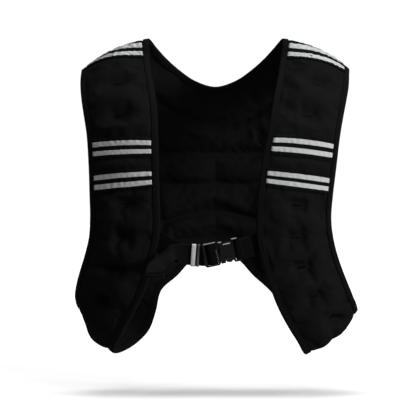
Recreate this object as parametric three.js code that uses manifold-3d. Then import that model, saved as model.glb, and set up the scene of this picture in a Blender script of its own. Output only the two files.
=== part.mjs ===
// A weighted vest in soft filled cloth, worn form, held up by its two shoulder straps.
// Millimetres, +Z up. The front of the vest faces -Y and +X is the viewer's right.
// The origin lies midway between the two places where the straps rest on the shoulders.
import * as THREE from 'three';
import initManifold from 'manifold-3d';
import { mergeVertices } from 'three/addons/utils/BufferGeometryUtils.js';

const wasm = await initManifold();
wasm.setup();
const { Manifold } = wasm;

// Driving sizes of the whole vest.
const HALF_WIDTH = 185;
const HALF_DEPTH = 100;
const LENGTH = 420;

// Filled cloth: half of its thickness at a bound edge, at a seam and in the full middle.
const EDGE_HALF = 2.4;
const SEAM_HALF = 2.8;
const FULL_OUTER = 9;
const FULL_INNER = 4.5;
const PUFF_RUN = 34;
const CROWN = 7;
const SEAM_GAP = 0.4;

// Binding tape, folded over an edge.
const BINDING_REACH = 7;
const TAPE = 1.1;
const CLEARANCE = 0.55;

// Ribbon and its reflective stripes.
const RIBBON = 0.8;
const STRIPE = 0.4;
const SEAT = 0.3;

// Belt webbing and its buckle.
const WEB_WIDTH = 25;
const WEB = 1.5;
const BUCKLE_LENGTH = 48.8;
const BUCKLE_HEIGHT = 30.8;
const BUCKLE_DEPTH = 10;
const BUCKLE_TILT = 0.206;
const RUN_TILT = -0.07;

// Front strips, from the seam on the shoulder, down the chest, round the turn at the bottom
// and back up to the seam under the arm. Columns: x, y, z of the inner edge, x, y, z of the
// armhole edge, crown. x is a share of HALF_WIDTH, y of HALF_DEPTH, z of LENGTH, crown of CROWN.
const FRONT_RIGHT = [
  [0.493, -0.06, 0.040, 0.961, 0.04, -0.053, 1.00],
  [0.483, -0.17, -0.015, 0.959, -0.18, -0.075, 1.00],
  [0.465, -0.38, -0.061, 0.948, -0.38, -0.115, 1.00],
  [0.438, -0.65, -0.116, 0.927, -0.55, -0.155, 1.00],
  [0.405, -0.89, -0.188, 0.897, -0.68, -0.213, 1.00],
  [0.375, -1.01, -0.260, 0.868, -0.80, -0.280, 1.00],
  [0.335, -1.09, -0.348, 0.841, -0.87, -0.371, 1.00],
  [0.307, -1.12, -0.434, 0.815, -0.90, -0.462, 1.00],
  [0.295, -1.13, -0.515, 0.804, -0.91, -0.527, 1.00],
  [0.296, -1.12, -0.595, 0.815, -0.89, -0.577, 1.00],
  [0.335, -1.09, -0.666, 0.841, -0.85, -0.629, 1.00],
  [0.385, -1.03, -0.734, 0.879, -0.79, -0.679, 1.00],
  [0.446, -0.96, -0.803, 0.922, -0.70, -0.725, 1.00],
  [0.519, -0.86, -0.864, 0.961, -0.59, -0.764, 0.86],
  [0.590, -0.73, -0.914, 0.996, -0.45, -0.797, 0.86],
  [0.638, -0.52, -0.951, 1.014, -0.26, -0.817, 0.71],
  [0.647, -0.30, -0.939, 1.012, -0.05, -0.801, 0.71],
  [0.624, -0.08, -0.914, 0.983, 0.14, -0.771, 0.71],
  [0.578, 0.16, -0.872, 0.924, 0.34, -0.724, 0.57],
  [0.518, 0.42, -0.823, 0.856, 0.52, -0.667, 0.57],
];
const FRONT_LEFT = [
  [0.489, -0.06, 0.040, 0.962, 0.10, -0.059, 1.00],
  [0.487, -0.17, -0.015, 0.966, -0.10, -0.065, 1.00],
  [0.473, -0.38, -0.061, 0.966, -0.30, -0.101, 1.00],
  [0.447, -0.65, -0.116, 0.952, -0.50, -0.151, 1.00],
  [0.422, -0.89, -0.188, 0.929, -0.63, -0.206, 1.00],
  [0.413, -1.02, -0.264, 0.905, -0.72, -0.267, 1.00],
  [0.408, -1.09, -0.351, 0.889, -0.78, -0.360, 1.00],
  [0.404, -1.12, -0.434, 0.881, -0.81, -0.455, 1.00],
  [0.397, -1.13, -0.511, 0.877, -0.81, -0.521, 1.00],
  [0.401, -1.12, -0.582, 0.885, -0.78, -0.584, 1.00],
  [0.436, -1.10, -0.650, 0.911, -0.74, -0.634, 1.00],
  [0.479, -1.06, -0.722, 0.942, -0.68, -0.678, 1.00],
  [0.543, -1.00, -0.787, 0.973, -0.60, -0.723, 1.00],
  [0.612, -0.91, -0.844, 0.992, -0.48, -0.759, 0.86],
  [0.683, -0.78, -0.899, 0.997, -0.34, -0.782, 0.86],
  [0.731, -0.56, -0.941, 0.993, -0.16, -0.800, 0.71],
  [0.691, -0.30, -0.950, 0.976, 0.06, -0.796, 0.71],
  [0.588, -0.06, -0.928, 0.942, 0.26, -0.766, 0.71],
  [0.497, 0.18, -0.889, 0.896, 0.44, -0.722, 0.57],
  [0.453, 0.42, -0.836, 0.856, 0.58, -0.667, 0.57],
];
// One half of the back, same columns, from the side seam along the hem to its middle, up the
// middle line to the neck and along the neck to the shoulder. The other half is its mirror.
const BACK_HALF = [
  [0.411, 0.68, -0.764, 0.786, 0.68, -0.601, 0.57],
  [0.292, 0.83, -0.717, 0.747, 0.75, -0.539, 0.71],
  [0.172, 0.90, -0.662, 0.729, 0.79, -0.489, 0.71],
  [0.000, 0.93, -0.629, 0.722, 0.80, -0.446, 0.71],
  [0.000, 0.94, -0.542, 0.722, 0.80, -0.422, 0.71],
  [0.000, 0.93, -0.435, 0.722, 0.80, -0.403, 0.71],
  [0.000, 0.89, -0.319, 0.722, 0.79, -0.383, 0.71],
  [0.000, 0.82, -0.203, 0.721, 0.78, -0.363, 0.71],
  [0.000, 0.72, -0.098, 0.724, 0.75, -0.336, 0.71],
  [0.155, 0.66, -0.079, 0.734, 0.69, -0.277, 0.71],
  [0.274, 0.55, -0.045, 0.767, 0.56, -0.212, 0.86],
  [0.369, 0.40, -0.010, 0.832, 0.38, -0.146, 0.86],
  [0.439, 0.18, 0.020, 0.904, 0.20, -0.091, 1.00],
];
const SIDE_SEAM = FRONT_RIGHT.length - 1;
const HEM_MIDDLE = SIDE_SEAM + 4;
const NECK_MIDDLE = SIDE_SEAM + 9;
const ROWS = FRONT_RIGHT.length + BACK_HALF.length;

// Tacks that hold the filling of the front strips. Columns: row, share across the strip.
const TACKS_RIGHT = [[2.6, 0.54], [4.25, 0.49], [7.53, 0.52], [9.03, 0.48], [10.5, 0.48], [12.1, 0.49],
  [13.9, 0.6]];
const TACKS_LEFT = [[2.7, 0.46], [4.3, 0.5], [7.55, 0.46], [9.0, 0.47], [10.6, 0.49], [12.4, 0.52]];
const TACK_DEPTH = 5;
const TACK_RADIUS = 13;

// Stitch lines across the back, heights as shares of LENGTH, and how deep they draw in.
const CHANNELS = [-0.211, -0.311, -0.414, -0.508, -0.596];
const CHANNEL_REACH = 0.5;
const CHANNEL_DEPTH = 3.6;
const CHANNEL_RADIUS = 9;

// Ribbons on the front strips. Columns: name, first row, last row, then first and last row of
// the upper stripe and of the lower stripe.
const RIBBONS_RIGHT = [
  ['shoulder', 0.10, 1.16, 0.28, 0.52, 0.72, 0.97],
  ['upper_chest', 5.14, 5.82, 5.25, 5.40, 5.54, 5.69],
  ['lower_chest', 6.28, 6.94, 6.39, 6.54, 6.66, 6.81],
];
const RIBBONS_LEFT = [
  ['shoulder', 0.10, 1.16, 0.28, 0.52, 0.72, 0.97],
  ['upper_chest', 5.21, 5.86, 5.32, 5.47, 5.61, 5.75],
  ['lower_chest', 6.29, 6.97, 6.40, 6.55, 6.70, 6.86],
];

const COLOURS = {
  cloth: { color: '#17181b', roughness: 0.92, metalness: 0 },
  tape: { color: '#202125', roughness: 0.85, metalness: 0 },
  ribbon: { color: '#131416', roughness: 0.8, metalness: 0 },
  stripe: { color: '#c4c7ca', roughness: 0.4, metalness: 0.2 },
  webbing: { color: '#1b1c1f', roughness: 0.85, metalness: 0 },
  plastic: { color: '#0c0c0d', roughness: 0.3, metalness: 0 },
};

const smooth = (x) => {
  const c = Math.min(1, Math.max(0, x));
  return c * c * (3 - 2 * c);
};
const lerp = (a, b, f) => a + (b - a) * f;

const root = new THREE.Group();
root.name = 'weighted_vest';

// A solid from a list of points and a list of triangles, points closer than a micron joined.
function solid(name, points, triangles, look) {
  const geometry = new THREE.BufferGeometry();
  const flat = points.flatMap((p) => [p.x, p.y, p.z]);
  geometry.setAttribute('position', new THREE.Float32BufferAttribute(flat, 3));
  geometry.setIndex(triangles.flat());
  return addMesh(name, mergeVertices(geometry, 1e-3), look);
}

function addMesh(name, geometry, look) {
  geometry.computeVertexNormals();
  const mesh = new THREE.Mesh(geometry, new THREE.MeshStandardMaterial(COLOURS[look]));
  mesh.name = name;
  root.add(mesh);
  return mesh;
}

// One side of the vest as a closed loop of rows, seam to seam round the armhole.
// sign is +1 for the viewer's right and -1 for the left.
function makeSide(sign, front, tacks) {
  const table = [...front, ...BACK_HALF];
  const at = (row, k) => new THREE.Vector3(
    sign * row[k] * HALF_WIDTH,
    row[k + 1] * HALF_DEPTH,
    row[k + 2] * LENGTH,
  );
  const inner = table.map((row) => at(row, 0));
  const outer = table.map((row) => at(row, 3));
  const mirror = (v) => new THREE.Vector3(-v.x, v.y, v.z);
  const order = [];
  for (let i = NECK_MIDDLE; i <= HEM_MIDDLE + ROWS; i += 1) {
    order.push(inner[i % ROWS]);
  }
  const long = new THREE.CatmullRomCurve3([
    mirror(inner[NECK_MIDDLE + 1]),
    ...order,
    mirror(inner[HEM_MIDDLE - 1]),
  ]);
  const middle = new THREE.CatmullRomCurve3(inner.slice(HEM_MIDDLE, NECK_MIDDLE + 1));
  const armhole = new THREE.CatmullRomCurve3(outer, true);
  const innerAt = (s) => {
    const r = ((s % ROWS) + ROWS) % ROWS;
    if (r > HEM_MIDDLE && r < NECK_MIDDLE) {
      return middle.getPoint((r - HEM_MIDDLE) / (NECK_MIDDLE - HEM_MIDDLE));
    }
    const k = r >= NECK_MIDDLE ? r - NECK_MIDDLE : r + ROWS - NECK_MIDDLE;
    return long.getPoint((k + 1) / (order.length + 1));
  };
  const outerAt = (s) => armhole.getPoint((((s % ROWS) + ROWS) % ROWS) / ROWS);
  const crownAt = (s) => {
    const r = ((s % ROWS) + ROWS) % ROWS;
    const i = Math.floor(r);
    return lerp(table[i][6], table[(i + 1) % ROWS][6], r - i) * CROWN;
  };
  // Where the strip curves evenly across (0) or only away from the middle line (1).
  const backness = (s) => {
    const r = ((s % ROWS) + ROWS) % ROWS;
    return smooth((r - SIDE_SEAM - 0.5) / 2.5) * smooth((ROWS - 0.5 - r) / 2.5);
  };
  const straight = (s, t) => innerAt(s).lerp(outerAt(s), t);
  const rawNormal = (s, t) => {
    const across = outerAt(s).sub(innerAt(s));
    const along = straight(s + 0.7, t).sub(straight(s - 0.7, t));
    return along.cross(across).normalize().multiplyScalar(sign);
  };
  const point = (s, t) => {
    const k = backness(s);
    const profile = (1 - k) * 4 * t * (1 - t) + k * 6.75 * t * t * (1 - t);
    return straight(s, t).addScaledVector(rawNormal(s, t), crownAt(s) * profile);
  };
  const normal = (s, t) => {
    const u0 = Math.max(0, t - 0.03);
    const u1 = Math.min(1, t + 0.03);
    const across = point(s, u1).sub(point(s, u0));
    const along = point(s + 0.3, t).sub(point(s - 0.3, t));
    return along.cross(across).normalize().multiplyScalar(sign);
  };
  const tackPoints = tacks.map(([s, t]) => point(s, t));
  return { sign, point, normal, innerAt, outerAt, tackPoints };
}

const right = makeSide(1, FRONT_RIGHT, TACKS_RIGHT);
const left = makeSide(-1, FRONT_LEFT, TACKS_LEFT);

const INNER_COLUMNS = 6;

// Shares across a row: edge, reach of the binding, even steps, reach of the binding, edge.
function columns(side, s, count) {
  const a = side.innerAt(s);
  const b = side.outerAt(s);
  const width = a.distanceTo(b);
  const across = b.clone().sub(a).divideScalar(width);
  const slant = (edgeAt) => {
    const run = edgeAt(s + 0.1).sub(edgeAt(s - 0.1)).normalize();
    return Math.max(0.55, run.cross(across).length());
  };
  const first = BINDING_REACH / slant(side.innerAt) / width;
  const last = 1 - BINDING_REACH / slant(side.outerAt) / width;
  const list = [0, first];
  for (let k = 1; k <= count; k += 1) {
    list.push(lerp(first, last, k / (count + 1)));
  }
  list.push(last, 1);
  return list;
}

// How far a point lies from a seam or bound edge sets how thick the filled cloth is there.
function distanceTo(lines, p) {
  let best = Infinity;
  const line = new THREE.Line3();
  const near = new THREE.Vector3();
  for (const pts of lines) {
    for (let i = 1; i < pts.length; i += 1) {
      line.set(pts[i - 1], pts[i]);
      line.closestPointToPoint(p, true, near);
      best = Math.min(best, near.distanceTo(p));
    }
  }
  return best;
}

// A grid of rows over part of one side: positions, normals and half thicknesses.
function makeGrid(side, rows, count, trims, thickness) {
  const grid = rows.map((s, i) => columns(side, s, count).map((t) => {
    const p = side.point(s, t);
    if (i === 0 || i === rows.length - 1) {
      const run = side.point(s + 0.3, t).sub(side.point(s - 0.3, t)).normalize();
      p.addScaledVector(run, i === 0 ? SEAM_GAP / 2 : -SEAM_GAP / 2);
    }
    return { p, n: side.normal(s, t), s, t };
  }));
  const edges = trims(grid);
  for (const row of grid) {
    for (const v of row) {
      const bound = distanceTo(edges.bound, v.p);
      const seam = distanceTo(edges.seam, v.p);
      const fill = smooth((bound - BINDING_REACH) / PUFF_RUN) * smooth(seam / 22);
      const thin = lerp(SEAM_HALF, EDGE_HALF, smooth(1.5 - bound / BINDING_REACH));
      const [draw, back] = thickness(side, v);
      v.outer = Math.max(EDGE_HALF, thin + (FULL_OUTER - thin) * fill - draw * fill);
      v.inner = Math.max(EDGE_HALF, thin + (FULL_INNER - thin) * fill - back * fill);
      if (bound < BINDING_REACH * 1.6) {
        v.outer = Math.min(v.outer, EDGE_HALF + 0.3 * Math.max(0, bound - BINDING_REACH));
        v.inner = Math.min(v.inner, EDGE_HALF + 0.3 * Math.max(0, bound - BINDING_REACH));
      }
    }
  }
  return { side, rows, grid };
}

const linesOf = (grid, pick) => grid.map((row) => row[pick < 0 ? row.length + pick : pick].p.clone());

// The closed solid between the outer and the inner face of a grid.
function thickGrid(points, triangles, grid, flip, closeInner) {
  const base = points.length;
  const wide = grid[0].length;
  const id = (i, j, face) => base + (i * wide + j) * 2 + face;
  for (const row of grid) {
    for (const v of row) {
      points.push(v.p.clone().addScaledVector(v.n, v.outer));
      points.push(v.p.clone().addScaledVector(v.n, -v.inner));
    }
  }
  const quad = (a, b, c, d) => {
    const list = [[a, b, c], [a, c, d]];
    for (const f of list) {
      triangles.push(flip ? [f[0], f[2], f[1]] : f);
    }
  };
  for (let i = 0; i + 1 < grid.length; i += 1) {
    for (let j = 0; j + 1 < wide; j += 1) {
      quad(id(i, j, 0), id(i, j + 1, 0), id(i + 1, j + 1, 0), id(i + 1, j, 0));
      quad(id(i, j, 1), id(i + 1, j, 1), id(i + 1, j + 1, 1), id(i, j + 1, 1));
    }
    if (closeInner(i)) {
      quad(id(i, 0, 0), id(i + 1, 0, 0), id(i + 1, 0, 1), id(i, 0, 1));
    }
    quad(id(i, wide - 1, 0), id(i, wide - 1, 1), id(i + 1, wide - 1, 1), id(i + 1, wide - 1, 0));
  }
  const e = grid.length - 1;
  for (let j = 0; j + 1 < wide; j += 1) {
    quad(id(0, j, 0), id(0, j, 1), id(0, j + 1, 1), id(0, j + 1, 0));
    quad(id(e, j, 0), id(e, j + 1, 0), id(e, j + 1, 1), id(e, j, 1));
  }
}

// Rows of a front strip: even steps, with rows at the ends and the middle of each ribbon.
function frontRows(ribbons) {
  const marks = ribbons.flatMap(([, a, b]) => [a, b]);
  marks.push(...ribbons[0].slice(3));
  const plain = [0, 1.6, 2.1, 2.65, 3.2, 3.7, 4.25, 4.75, 7.53, 8.25, 9.03, 9.8, 10.5, 11.3, 12.1,
    12.8, 13.5, 14.2, 14.8, 15.4, 16, 16.6, 17.2, 17.8, 18.4, SIDE_SEAM];
  return [...plain, ...marks].sort((a, b) => a - b);
}

function frontThickness(ribbons) {
  return (side, v) => {
    let draw = 0;
    for (const tack of side.tackPoints) {
      draw = Math.max(draw, TACK_DEPTH * Math.exp(-((v.p.distanceTo(tack) / TACK_RADIUS) ** 2)));
    }
    for (const [, a, b] of ribbons) {
      draw = Math.max(draw, 3.5 * smooth(1.6 - Math.abs(v.s - (a + b) / 2) * 1.6));
    }
    return [draw, 0.3 * draw];
  };
}

function makeFront(name, side, ribbons) {
  const trims = (grid) => ({
    bound: [linesOf(grid, 0), linesOf(grid, -1)],
    seam: [grid[0].map((v) => v.p.clone()), grid[grid.length - 1].map((v) => v.p.clone())],
  });
  const made = makeGrid(side, frontRows(ribbons), INNER_COLUMNS, trims, frontThickness(ribbons));
  const points = [];
  const triangles = [];
  thickGrid(points, triangles, made.grid, side.sign > 0, () => true);
  solid(name, points, triangles, 'cloth');
  return made;
}

const frontRight = makeFront('front_panel_right', right, RIBBONS_RIGHT);
const frontLeft = makeFront('front_panel_left', left, RIBBONS_LEFT);

// The back: two mirrored halves that share the middle line.
const tuck = BINDING_REACH / (0.087 * LENGTH);
const BACK_ROWS = [SIDE_SEAM, 19.5, 20, 20.5, 21, 21.4, 21.8, 22.2, 22.6, HEM_MIDDLE, HEM_MIDDLE + tuck,
  23.6, 24, 24.35, 24.7, 25, 25.35, 25.7, 26, 26.35, 26.7, 27, 27.35, NECK_MIDDLE - tuck, NECK_MIDDLE,
  28.5, 29, 29.5, 30, 30.5, 31, 31.5, 32, 32.5, ROWS];

function backThickness(side, v) {
  const reach = 1 - smooth((Math.abs(v.p.x) / HALF_WIDTH - CHANNEL_REACH) / 0.1);
  let draw = 0;
  for (const z of CHANNELS) {
    const away = (v.p.z - z * LENGTH) / CHANNEL_RADIUS;
    draw = Math.max(draw, CHANNEL_DEPTH * Math.exp(-(away ** 2)));
  }
  return [draw * reach, 0.6 * draw * reach];
}

function makeBack() {
  const halves = [right, left].map((side) => {
    const trims = (grid) => {
      const hem = grid.filter((row) => row[0].s <= HEM_MIDDLE).map((row) => row[0].p.clone());
      const neck = grid.filter((row) => row[0].s >= NECK_MIDDLE).map((row) => row[0].p.clone());
      return {
        bound: [hem, neck, linesOf(grid, -1)],
        seam: [grid[0].map((v) => v.p.clone()), grid[grid.length - 1].map((v) => v.p.clone())],
      };
    };
    const made = makeGrid(side, BACK_ROWS, INNER_COLUMNS, trims, backThickness);
    for (const row of made.grid) {
      if (row[0].s >= HEM_MIDDLE && row[0].s <= NECK_MIDDLE) {
        row[0].p.x = 0;
        row[0].n.x = 0;
        row[0].n.normalize();
      }
    }
    return made;
  });
  // Both halves carry the same values on the middle line.
  halves[0].grid.forEach((row, i) => {
    const other = halves[1].grid[i];
    if (row[0].s >= HEM_MIDDLE && row[0].s <= NECK_MIDDLE) {
      other[0].p.copy(row[0].p);
      other[0].n.copy(row[0].n);
      other[0].outer = row[0].outer;
      other[0].inner = row[0].inner;
    }
  });
  const points = [];
  const triangles = [];
  for (const half of halves) {
    const open = (i) => BACK_ROWS[i + 1] <= HEM_MIDDLE || BACK_ROWS[i] >= NECK_MIDDLE;
    thickGrid(points, triangles, half.grid, half.side.sign > 0, open);
  }
  solid('back_panel', points, triangles, 'cloth');
  return halves;
}

const [backRight, backLeft] = makeBack();

// Folded tape round an edge. Each station has an edge vertex and the vertex one reach inward.
function binding(name, stations) {
  const points = [];
  const triangles = [];
  const ring = 9;
  for (const [edge, inward] of stations) {
    const out = edge.p.clone().sub(inward.p).normalize();
    const low = edge.inner + CLEARANCE;
    const high = edge.outer + CLEARANCE;
    const at = (base, n, up, along) => base.clone().addScaledVector(n, up).addScaledVector(out, along);
    const keep = 0.3;
    points.push(
      at(inward.p, inward.n, inward.outer + CLEARANCE + TAPE, keep),
      at(edge.p, edge.n, high + TAPE, CLEARANCE + 0.3 * TAPE),
      at(edge.p, edge.n, 0, CLEARANCE + 1.6 * TAPE),
      at(edge.p, edge.n, -low - TAPE, CLEARANCE + 0.3 * TAPE),
      at(inward.p, inward.n, -inward.inner - CLEARANCE - TAPE, keep),
      at(inward.p, inward.n, -inward.inner - CLEARANCE, keep),
      at(edge.p, edge.n, -low, CLEARANCE),
      at(edge.p, edge.n, high, CLEARANCE),
      at(inward.p, inward.n, inward.outer + CLEARANCE, keep),
    );
  }
  const n = stations.length;
  for (let i = 0; i < n; i += 1) {
    const a = i * ring;
    const b = ((i + 1) % n) * ring;
    for (let k = 0; k < ring; k += 1) {
      const m = (k + 1) % ring;
      triangles.push([a + k, b + k, b + m], [a + k, b + m, a + m]);
    }
  }
  orient(points, triangles);
  solid(name, points, triangles, 'tape');
}

// Turns every triangle of a closed solid over when its volume comes out negative.
function orient(points, triangles) {
  let volume = 0;
  for (const [a, b, c] of triangles) {
    volume += points[a].dot(points[b].clone().cross(points[c]));
  }
  if (volume < 0) {
    for (const f of triangles) {
      f.reverse();
    }
  }
}

const innerStations = (grid) => grid.map((row) => [row[0], row[1]]);
const outerStations = (grid) => grid.map((row) => [row[row.length - 1], row[row.length - 2]]);
const rowsUpTo = (half, a, b) => half.grid.filter((row) => row[0].s >= a && row[0].s <= b);

function middleStation(half, s, inwardStep) {
  const i = half.grid.findIndex((row) => row[0].s === s);
  return [half.grid[i][0], half.grid[i + inwardStep][0]];
}

function edgeLoop() {
  const hem = (half) => innerStations(rowsUpTo(half, SIDE_SEAM + 0.1, HEM_MIDDLE - 0.1));
  const neck = (half) => innerStations(rowsUpTo(half, NECK_MIDDLE + 0.1, ROWS - 0.1));
  return [
    ...innerStations(frontRight.grid),
    ...hem(backRight),
    middleStation(backRight, HEM_MIDDLE, 1),
    ...hem(backLeft).reverse(),
    ...innerStations(frontLeft.grid).reverse(),
    ...neck(backLeft).reverse(),
    middleStation(backRight, NECK_MIDDLE, -1),
    ...neck(backRight),
  ];
}

binding('edge_binding', edgeLoop());
for (const [name, front, back] of [['right', frontRight, backRight], ['left', frontLeft, backLeft]]) {
  binding(`armhole_binding_${name}`, [
    ...outerStations(front.grid),
    ...outerStations(rowsUpTo(back, SIDE_SEAM + 0.1, ROWS - 0.1)),
  ]);
}

// A thin sheet on the outer face of a front strip, between two rows and two columns.
function layer(name, front, first, last, lift, thick, look, margin) {
  const rows = front.grid.filter((row) => row[0].s >= first - 1e-6 && row[0].s <= last + 1e-6);
  const mixed = [];
  const rowAt = (s) => {
    const i = Math.max(1, front.grid.findIndex((row) => row[0].s >= s - 1e-6));
    const a = front.grid[i - 1];
    const b = front.grid[i];
    const f = (s - a[0].s) / (b[0].s - a[0].s);
    return a.map((v, j) => ({
      p: v.p.clone().lerp(b[j].p, f),
      n: v.n.clone().lerp(b[j].n, f).normalize(),
      top: v.p.clone().addScaledVector(v.n, v.outer)
        .lerp(b[j].p.clone().addScaledVector(b[j].n, b[j].outer), f),
    }));
  };
  const list = [first, ...rows.map((row) => row[0].s), last];
  const unique = list.filter((s, i) => i === 0 || s - list[i - 1] > 1e-3);
  for (const s of unique) {
    const row = rowAt(s);
    const inset = row.slice(1, -1);
    const pull = (end, next) => {
      const d = next.top.clone().sub(end.top).normalize().multiplyScalar(margin);
      return { n: end.n, top: end.top.clone().add(d) };
    };
    inset[0] = pull(inset[0], inset[1]);
    inset[inset.length - 1] = pull(inset[inset.length - 1], inset[inset.length - 2]);
    mixed.push(inset.map((v) => ({
      p: v.top.clone().addScaledVector(v.n, lift + thick / 2),
      n: v.n,
      outer: thick / 2,
      inner: thick / 2,
    })));
  }
  const points = [];
  const triangles = [];
  thickGrid(points, triangles, mixed, front.side.sign > 0, () => true);
  solid(name, points, triangles, look);
}

for (const [hand, front, ribbons] of [
  ['right', frontRight, RIBBONS_RIGHT],
  ['left', frontLeft, RIBBONS_LEFT],
]) {
  for (const [place, a, b, u0, u1, w0, w1] of ribbons) {
    layer(`${place}_ribbon_${hand}`, front, a, b, SEAT, RIBBON, 'ribbon', 0.8);
    const lift = SEAT + RIBBON + SEAT;
    layer(`${place}_stripe_upper_${hand}`, front, u0, u1, lift, STRIPE, 'stripe', 1.2);
    layer(`${place}_stripe_lower_${hand}`, front, w0, w1, lift, STRIPE, 'stripe', 1.2);
  }
}

// Belt. Its frame: u along the belt to the viewer's right, v up, d towards the back. Places along
// u are drawn for a buckle of DRAWN_LENGTH and stretch with the real one.
const DRAWN_LENGTH = 48.8;
const STRETCH = BUCKLE_LENGTH / DRAWN_LENGTH;
const BELT_CENTRE = new THREE.Vector3(0.0415 * HALF_WIDTH, -1.18 * HALF_DEPTH, -0.6335 * LENGTH);
const BELT_U = new THREE.Vector3(Math.cos(BUCKLE_TILT), 0, Math.sin(BUCKLE_TILT));
const BELT_V = new THREE.Vector3(-Math.sin(BUCKLE_TILT), 0, Math.cos(BUCKLE_TILT));
const BELT_D = new THREE.Vector3(0, 1, 0);
const belt = (u, d, v = 0) => BELT_CENTRE.clone()
  .addScaledVector(BELT_U, u * STRETCH)
  .addScaledVector(BELT_D, d)
  .addScaledVector(BELT_V, v);

// The webbing turns a little in its own plane where it leaves the buckle. Frame of that run.
const RUN_U = new THREE.Vector3(Math.cos(RUN_TILT), 0, Math.sin(RUN_TILT));
const RUN_V = new THREE.Vector3(-Math.sin(RUN_TILT), 0, Math.cos(RUN_TILT));
const RUN_START = belt(2.4 - DRAWN_LENGTH / 2, 0);
const run = (u, d, v = 0) => RUN_START.clone()
  .addScaledVector(RUN_U, u * STRETCH)
  .addScaledVector(BELT_D, d)
  .addScaledVector(RUN_V, v);
const turned = (f) => BELT_V.clone().lerp(RUN_V, f).normalize();

// A flat strap along rows of centre, width direction and thickness.
function strap(name, rows, look) {
  const points = [];
  const triangles = [];
  const n = rows.length;
  rows.forEach(({ c, w, thick, width }, i) => {
    const tangent = rows[Math.min(n - 1, i + 1)].c.clone().sub(rows[Math.max(0, i - 1)].c).normalize();
    const face = tangent.clone().cross(w).normalize();
    const wide = face.clone().cross(tangent).normalize();
    for (const [a, b] of [[-1, -1], [1, -1], [1, 1], [-1, 1]]) {
      points.push(c.clone().addScaledVector(wide, (a * width) / 2).addScaledVector(face, (b * thick) / 2));
    }
  });
  for (let i = 0; i + 1 < n; i += 1) {
    for (let k = 0; k < 4; k += 1) {
      const m = (k + 1) % 4;
      triangles.push([i * 4 + k, i * 4 + m, i * 4 + 4 + m], [i * 4 + k, i * 4 + 4 + m, i * 4 + 4 + k]);
    }
  }
  const e = (n - 1) * 4;
  triangles.push([0, 2, 1], [0, 3, 2], [e, e + 1, e + 2], [e, e + 2, e + 3]);
  orient(points, triangles);
  solid(name, points, triangles, look);
}

// Centre of a strap seated behind the inner edge of a front strip, a given way in from it.
function seated(front, s, into) {
  const side = front.side;
  const width = side.innerAt(s).distanceTo(side.outerAt(s));
  const t = into / width;
  const behind = WEB / 2 + EDGE_HALF + CLEARANCE + TAPE + 2.5;
  const c = side.point(s, t).addScaledVector(side.normal(s, t), -behind);
  const w = side.point(s - 0.3, t).sub(side.point(s + 0.3, t)).normalize();
  return { c, w };
}

const webRow = (c, w, width = WEB_WIDTH, thick = WEB) => ({ c, w, width, thick });

function leftWebbing() {
  const rows = [];
  for (const into of [20, 12, 3]) {
    const { c, w } = seated(frontLeft, 9.2, into);
    c.z += into * 0.3 - 1;
    rows.push(webRow(c, w));
  }
  const last = rows[rows.length - 1].c;
  const keeperEnd = run(-28, 4.2);
  for (const f of [0.35, 0.7]) {
    const c = last.clone().lerp(keeperEnd, f);
    c.z -= 1.5 * Math.sin(Math.PI * f) * (WEB_WIDTH / 25);
    rows.push(webRow(c, RUN_V.clone()));
  }
  for (const [u, d] of [[-28, 4.2], [-22, 4.2], [-6, 4.2]]) {
    rows.push(webRow(run(u, d), RUN_V.clone()));
  }
  rows.push(webRow(run(-1.5, 4.2), turned(0.6)));
  const loop = [[-18.5, 4.3], [-12.9, 4.3], [-10.2, 3.5], [-8.9, 1.8], [-8.7, -0.6], [-9.4, -2.6],
    [-11, -3.5], [-14.6, -3.5], [-16.4, -2.6], [-17.3, -0.8], [-18.2, 0.9]];
  for (const [u, d] of loop) {
    rows.push(webRow(belt(u, d), BELT_V.clone()));
  }
  rows.push(webRow(belt(-20.2, 2), turned(0.3)), webRow(run(-1.8, 2.1), turned(0.65)));
  for (const [u, d] of [[-6.5, 2.1], [-20.5, 2.1], [-23, 2]]) {
    rows.push(webRow(run(u, d), RUN_V.clone()));
  }
  // Free tail. Columns: upper edge x, y, z and lower edge x, y, z, as shares like the tables above.
  const tail = [
    [-0.246, -1.170, -0.610, -0.256, -1.245, -0.663],
    [-0.293, -1.185, -0.617, -0.299, -1.350, -0.655],
    [-0.342, -1.215, -0.630, -0.336, -1.410, -0.666],
    [-0.404, -1.270, -0.647, -0.358, -1.450, -0.681],
    [-0.458, -1.350, -0.667, -0.372, -1.500, -0.693],
    [-0.484, -1.455, -0.693, -0.356, -1.510, -0.706],
    [-0.488, -1.470, -0.701, -0.354, -1.525, -0.716],
  ];
  tail.forEach(([x0, y0, z0, x1, y1, z1], i) => {
    const top = new THREE.Vector3(x0 * HALF_WIDTH, y0 * HALF_DEPTH, z0 * LENGTH);
    const low = new THREE.Vector3(x1 * HALF_WIDTH, y1 * HALF_DEPTH, z1 * LENGTH);
    const thick = i > 4 ? WEB * 2.2 : WEB;
    rows.push(webRow(top.clone().lerp(low, 0.5), top.sub(low).normalize(), WEB_WIDTH, thick));
  });
  strap('belt_webbing_left', rows, 'webbing');
}

function rightWebbing() {
  const rows = [];
  for (const into of [20, 12, 3]) {
    const { c, w } = seated(frontRight, 9.15, into);
    c.z += 1.5 + into * 0.1;
    rows.push(webRow(c, w));
  }
  const edge = rows[rows.length - 1].c;
  const meet = belt(29, 5);
  rows.push(webRow(edge.clone().lerp(meet, 0.5), BELT_V.clone()));
  const loop = [[29, 3.6], [24.5, 3.8], [22.4, 3.8], [20.2, 3.3], [18.8, 1.7], [18.4, -0.4], [19.2, -2.3],
    [21, -3.3], [24.6, -3.3], [28.5, -1.8], [31.5, 0.6], [35, 1.2], [41, 1.6]];
  for (const [u, d] of loop) {
    rows.push(webRow(belt(u, d), BELT_V.clone()));
  }
  strap('belt_webbing_right', rows, 'webbing');
}

leftWebbing();
rightWebbing();

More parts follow.
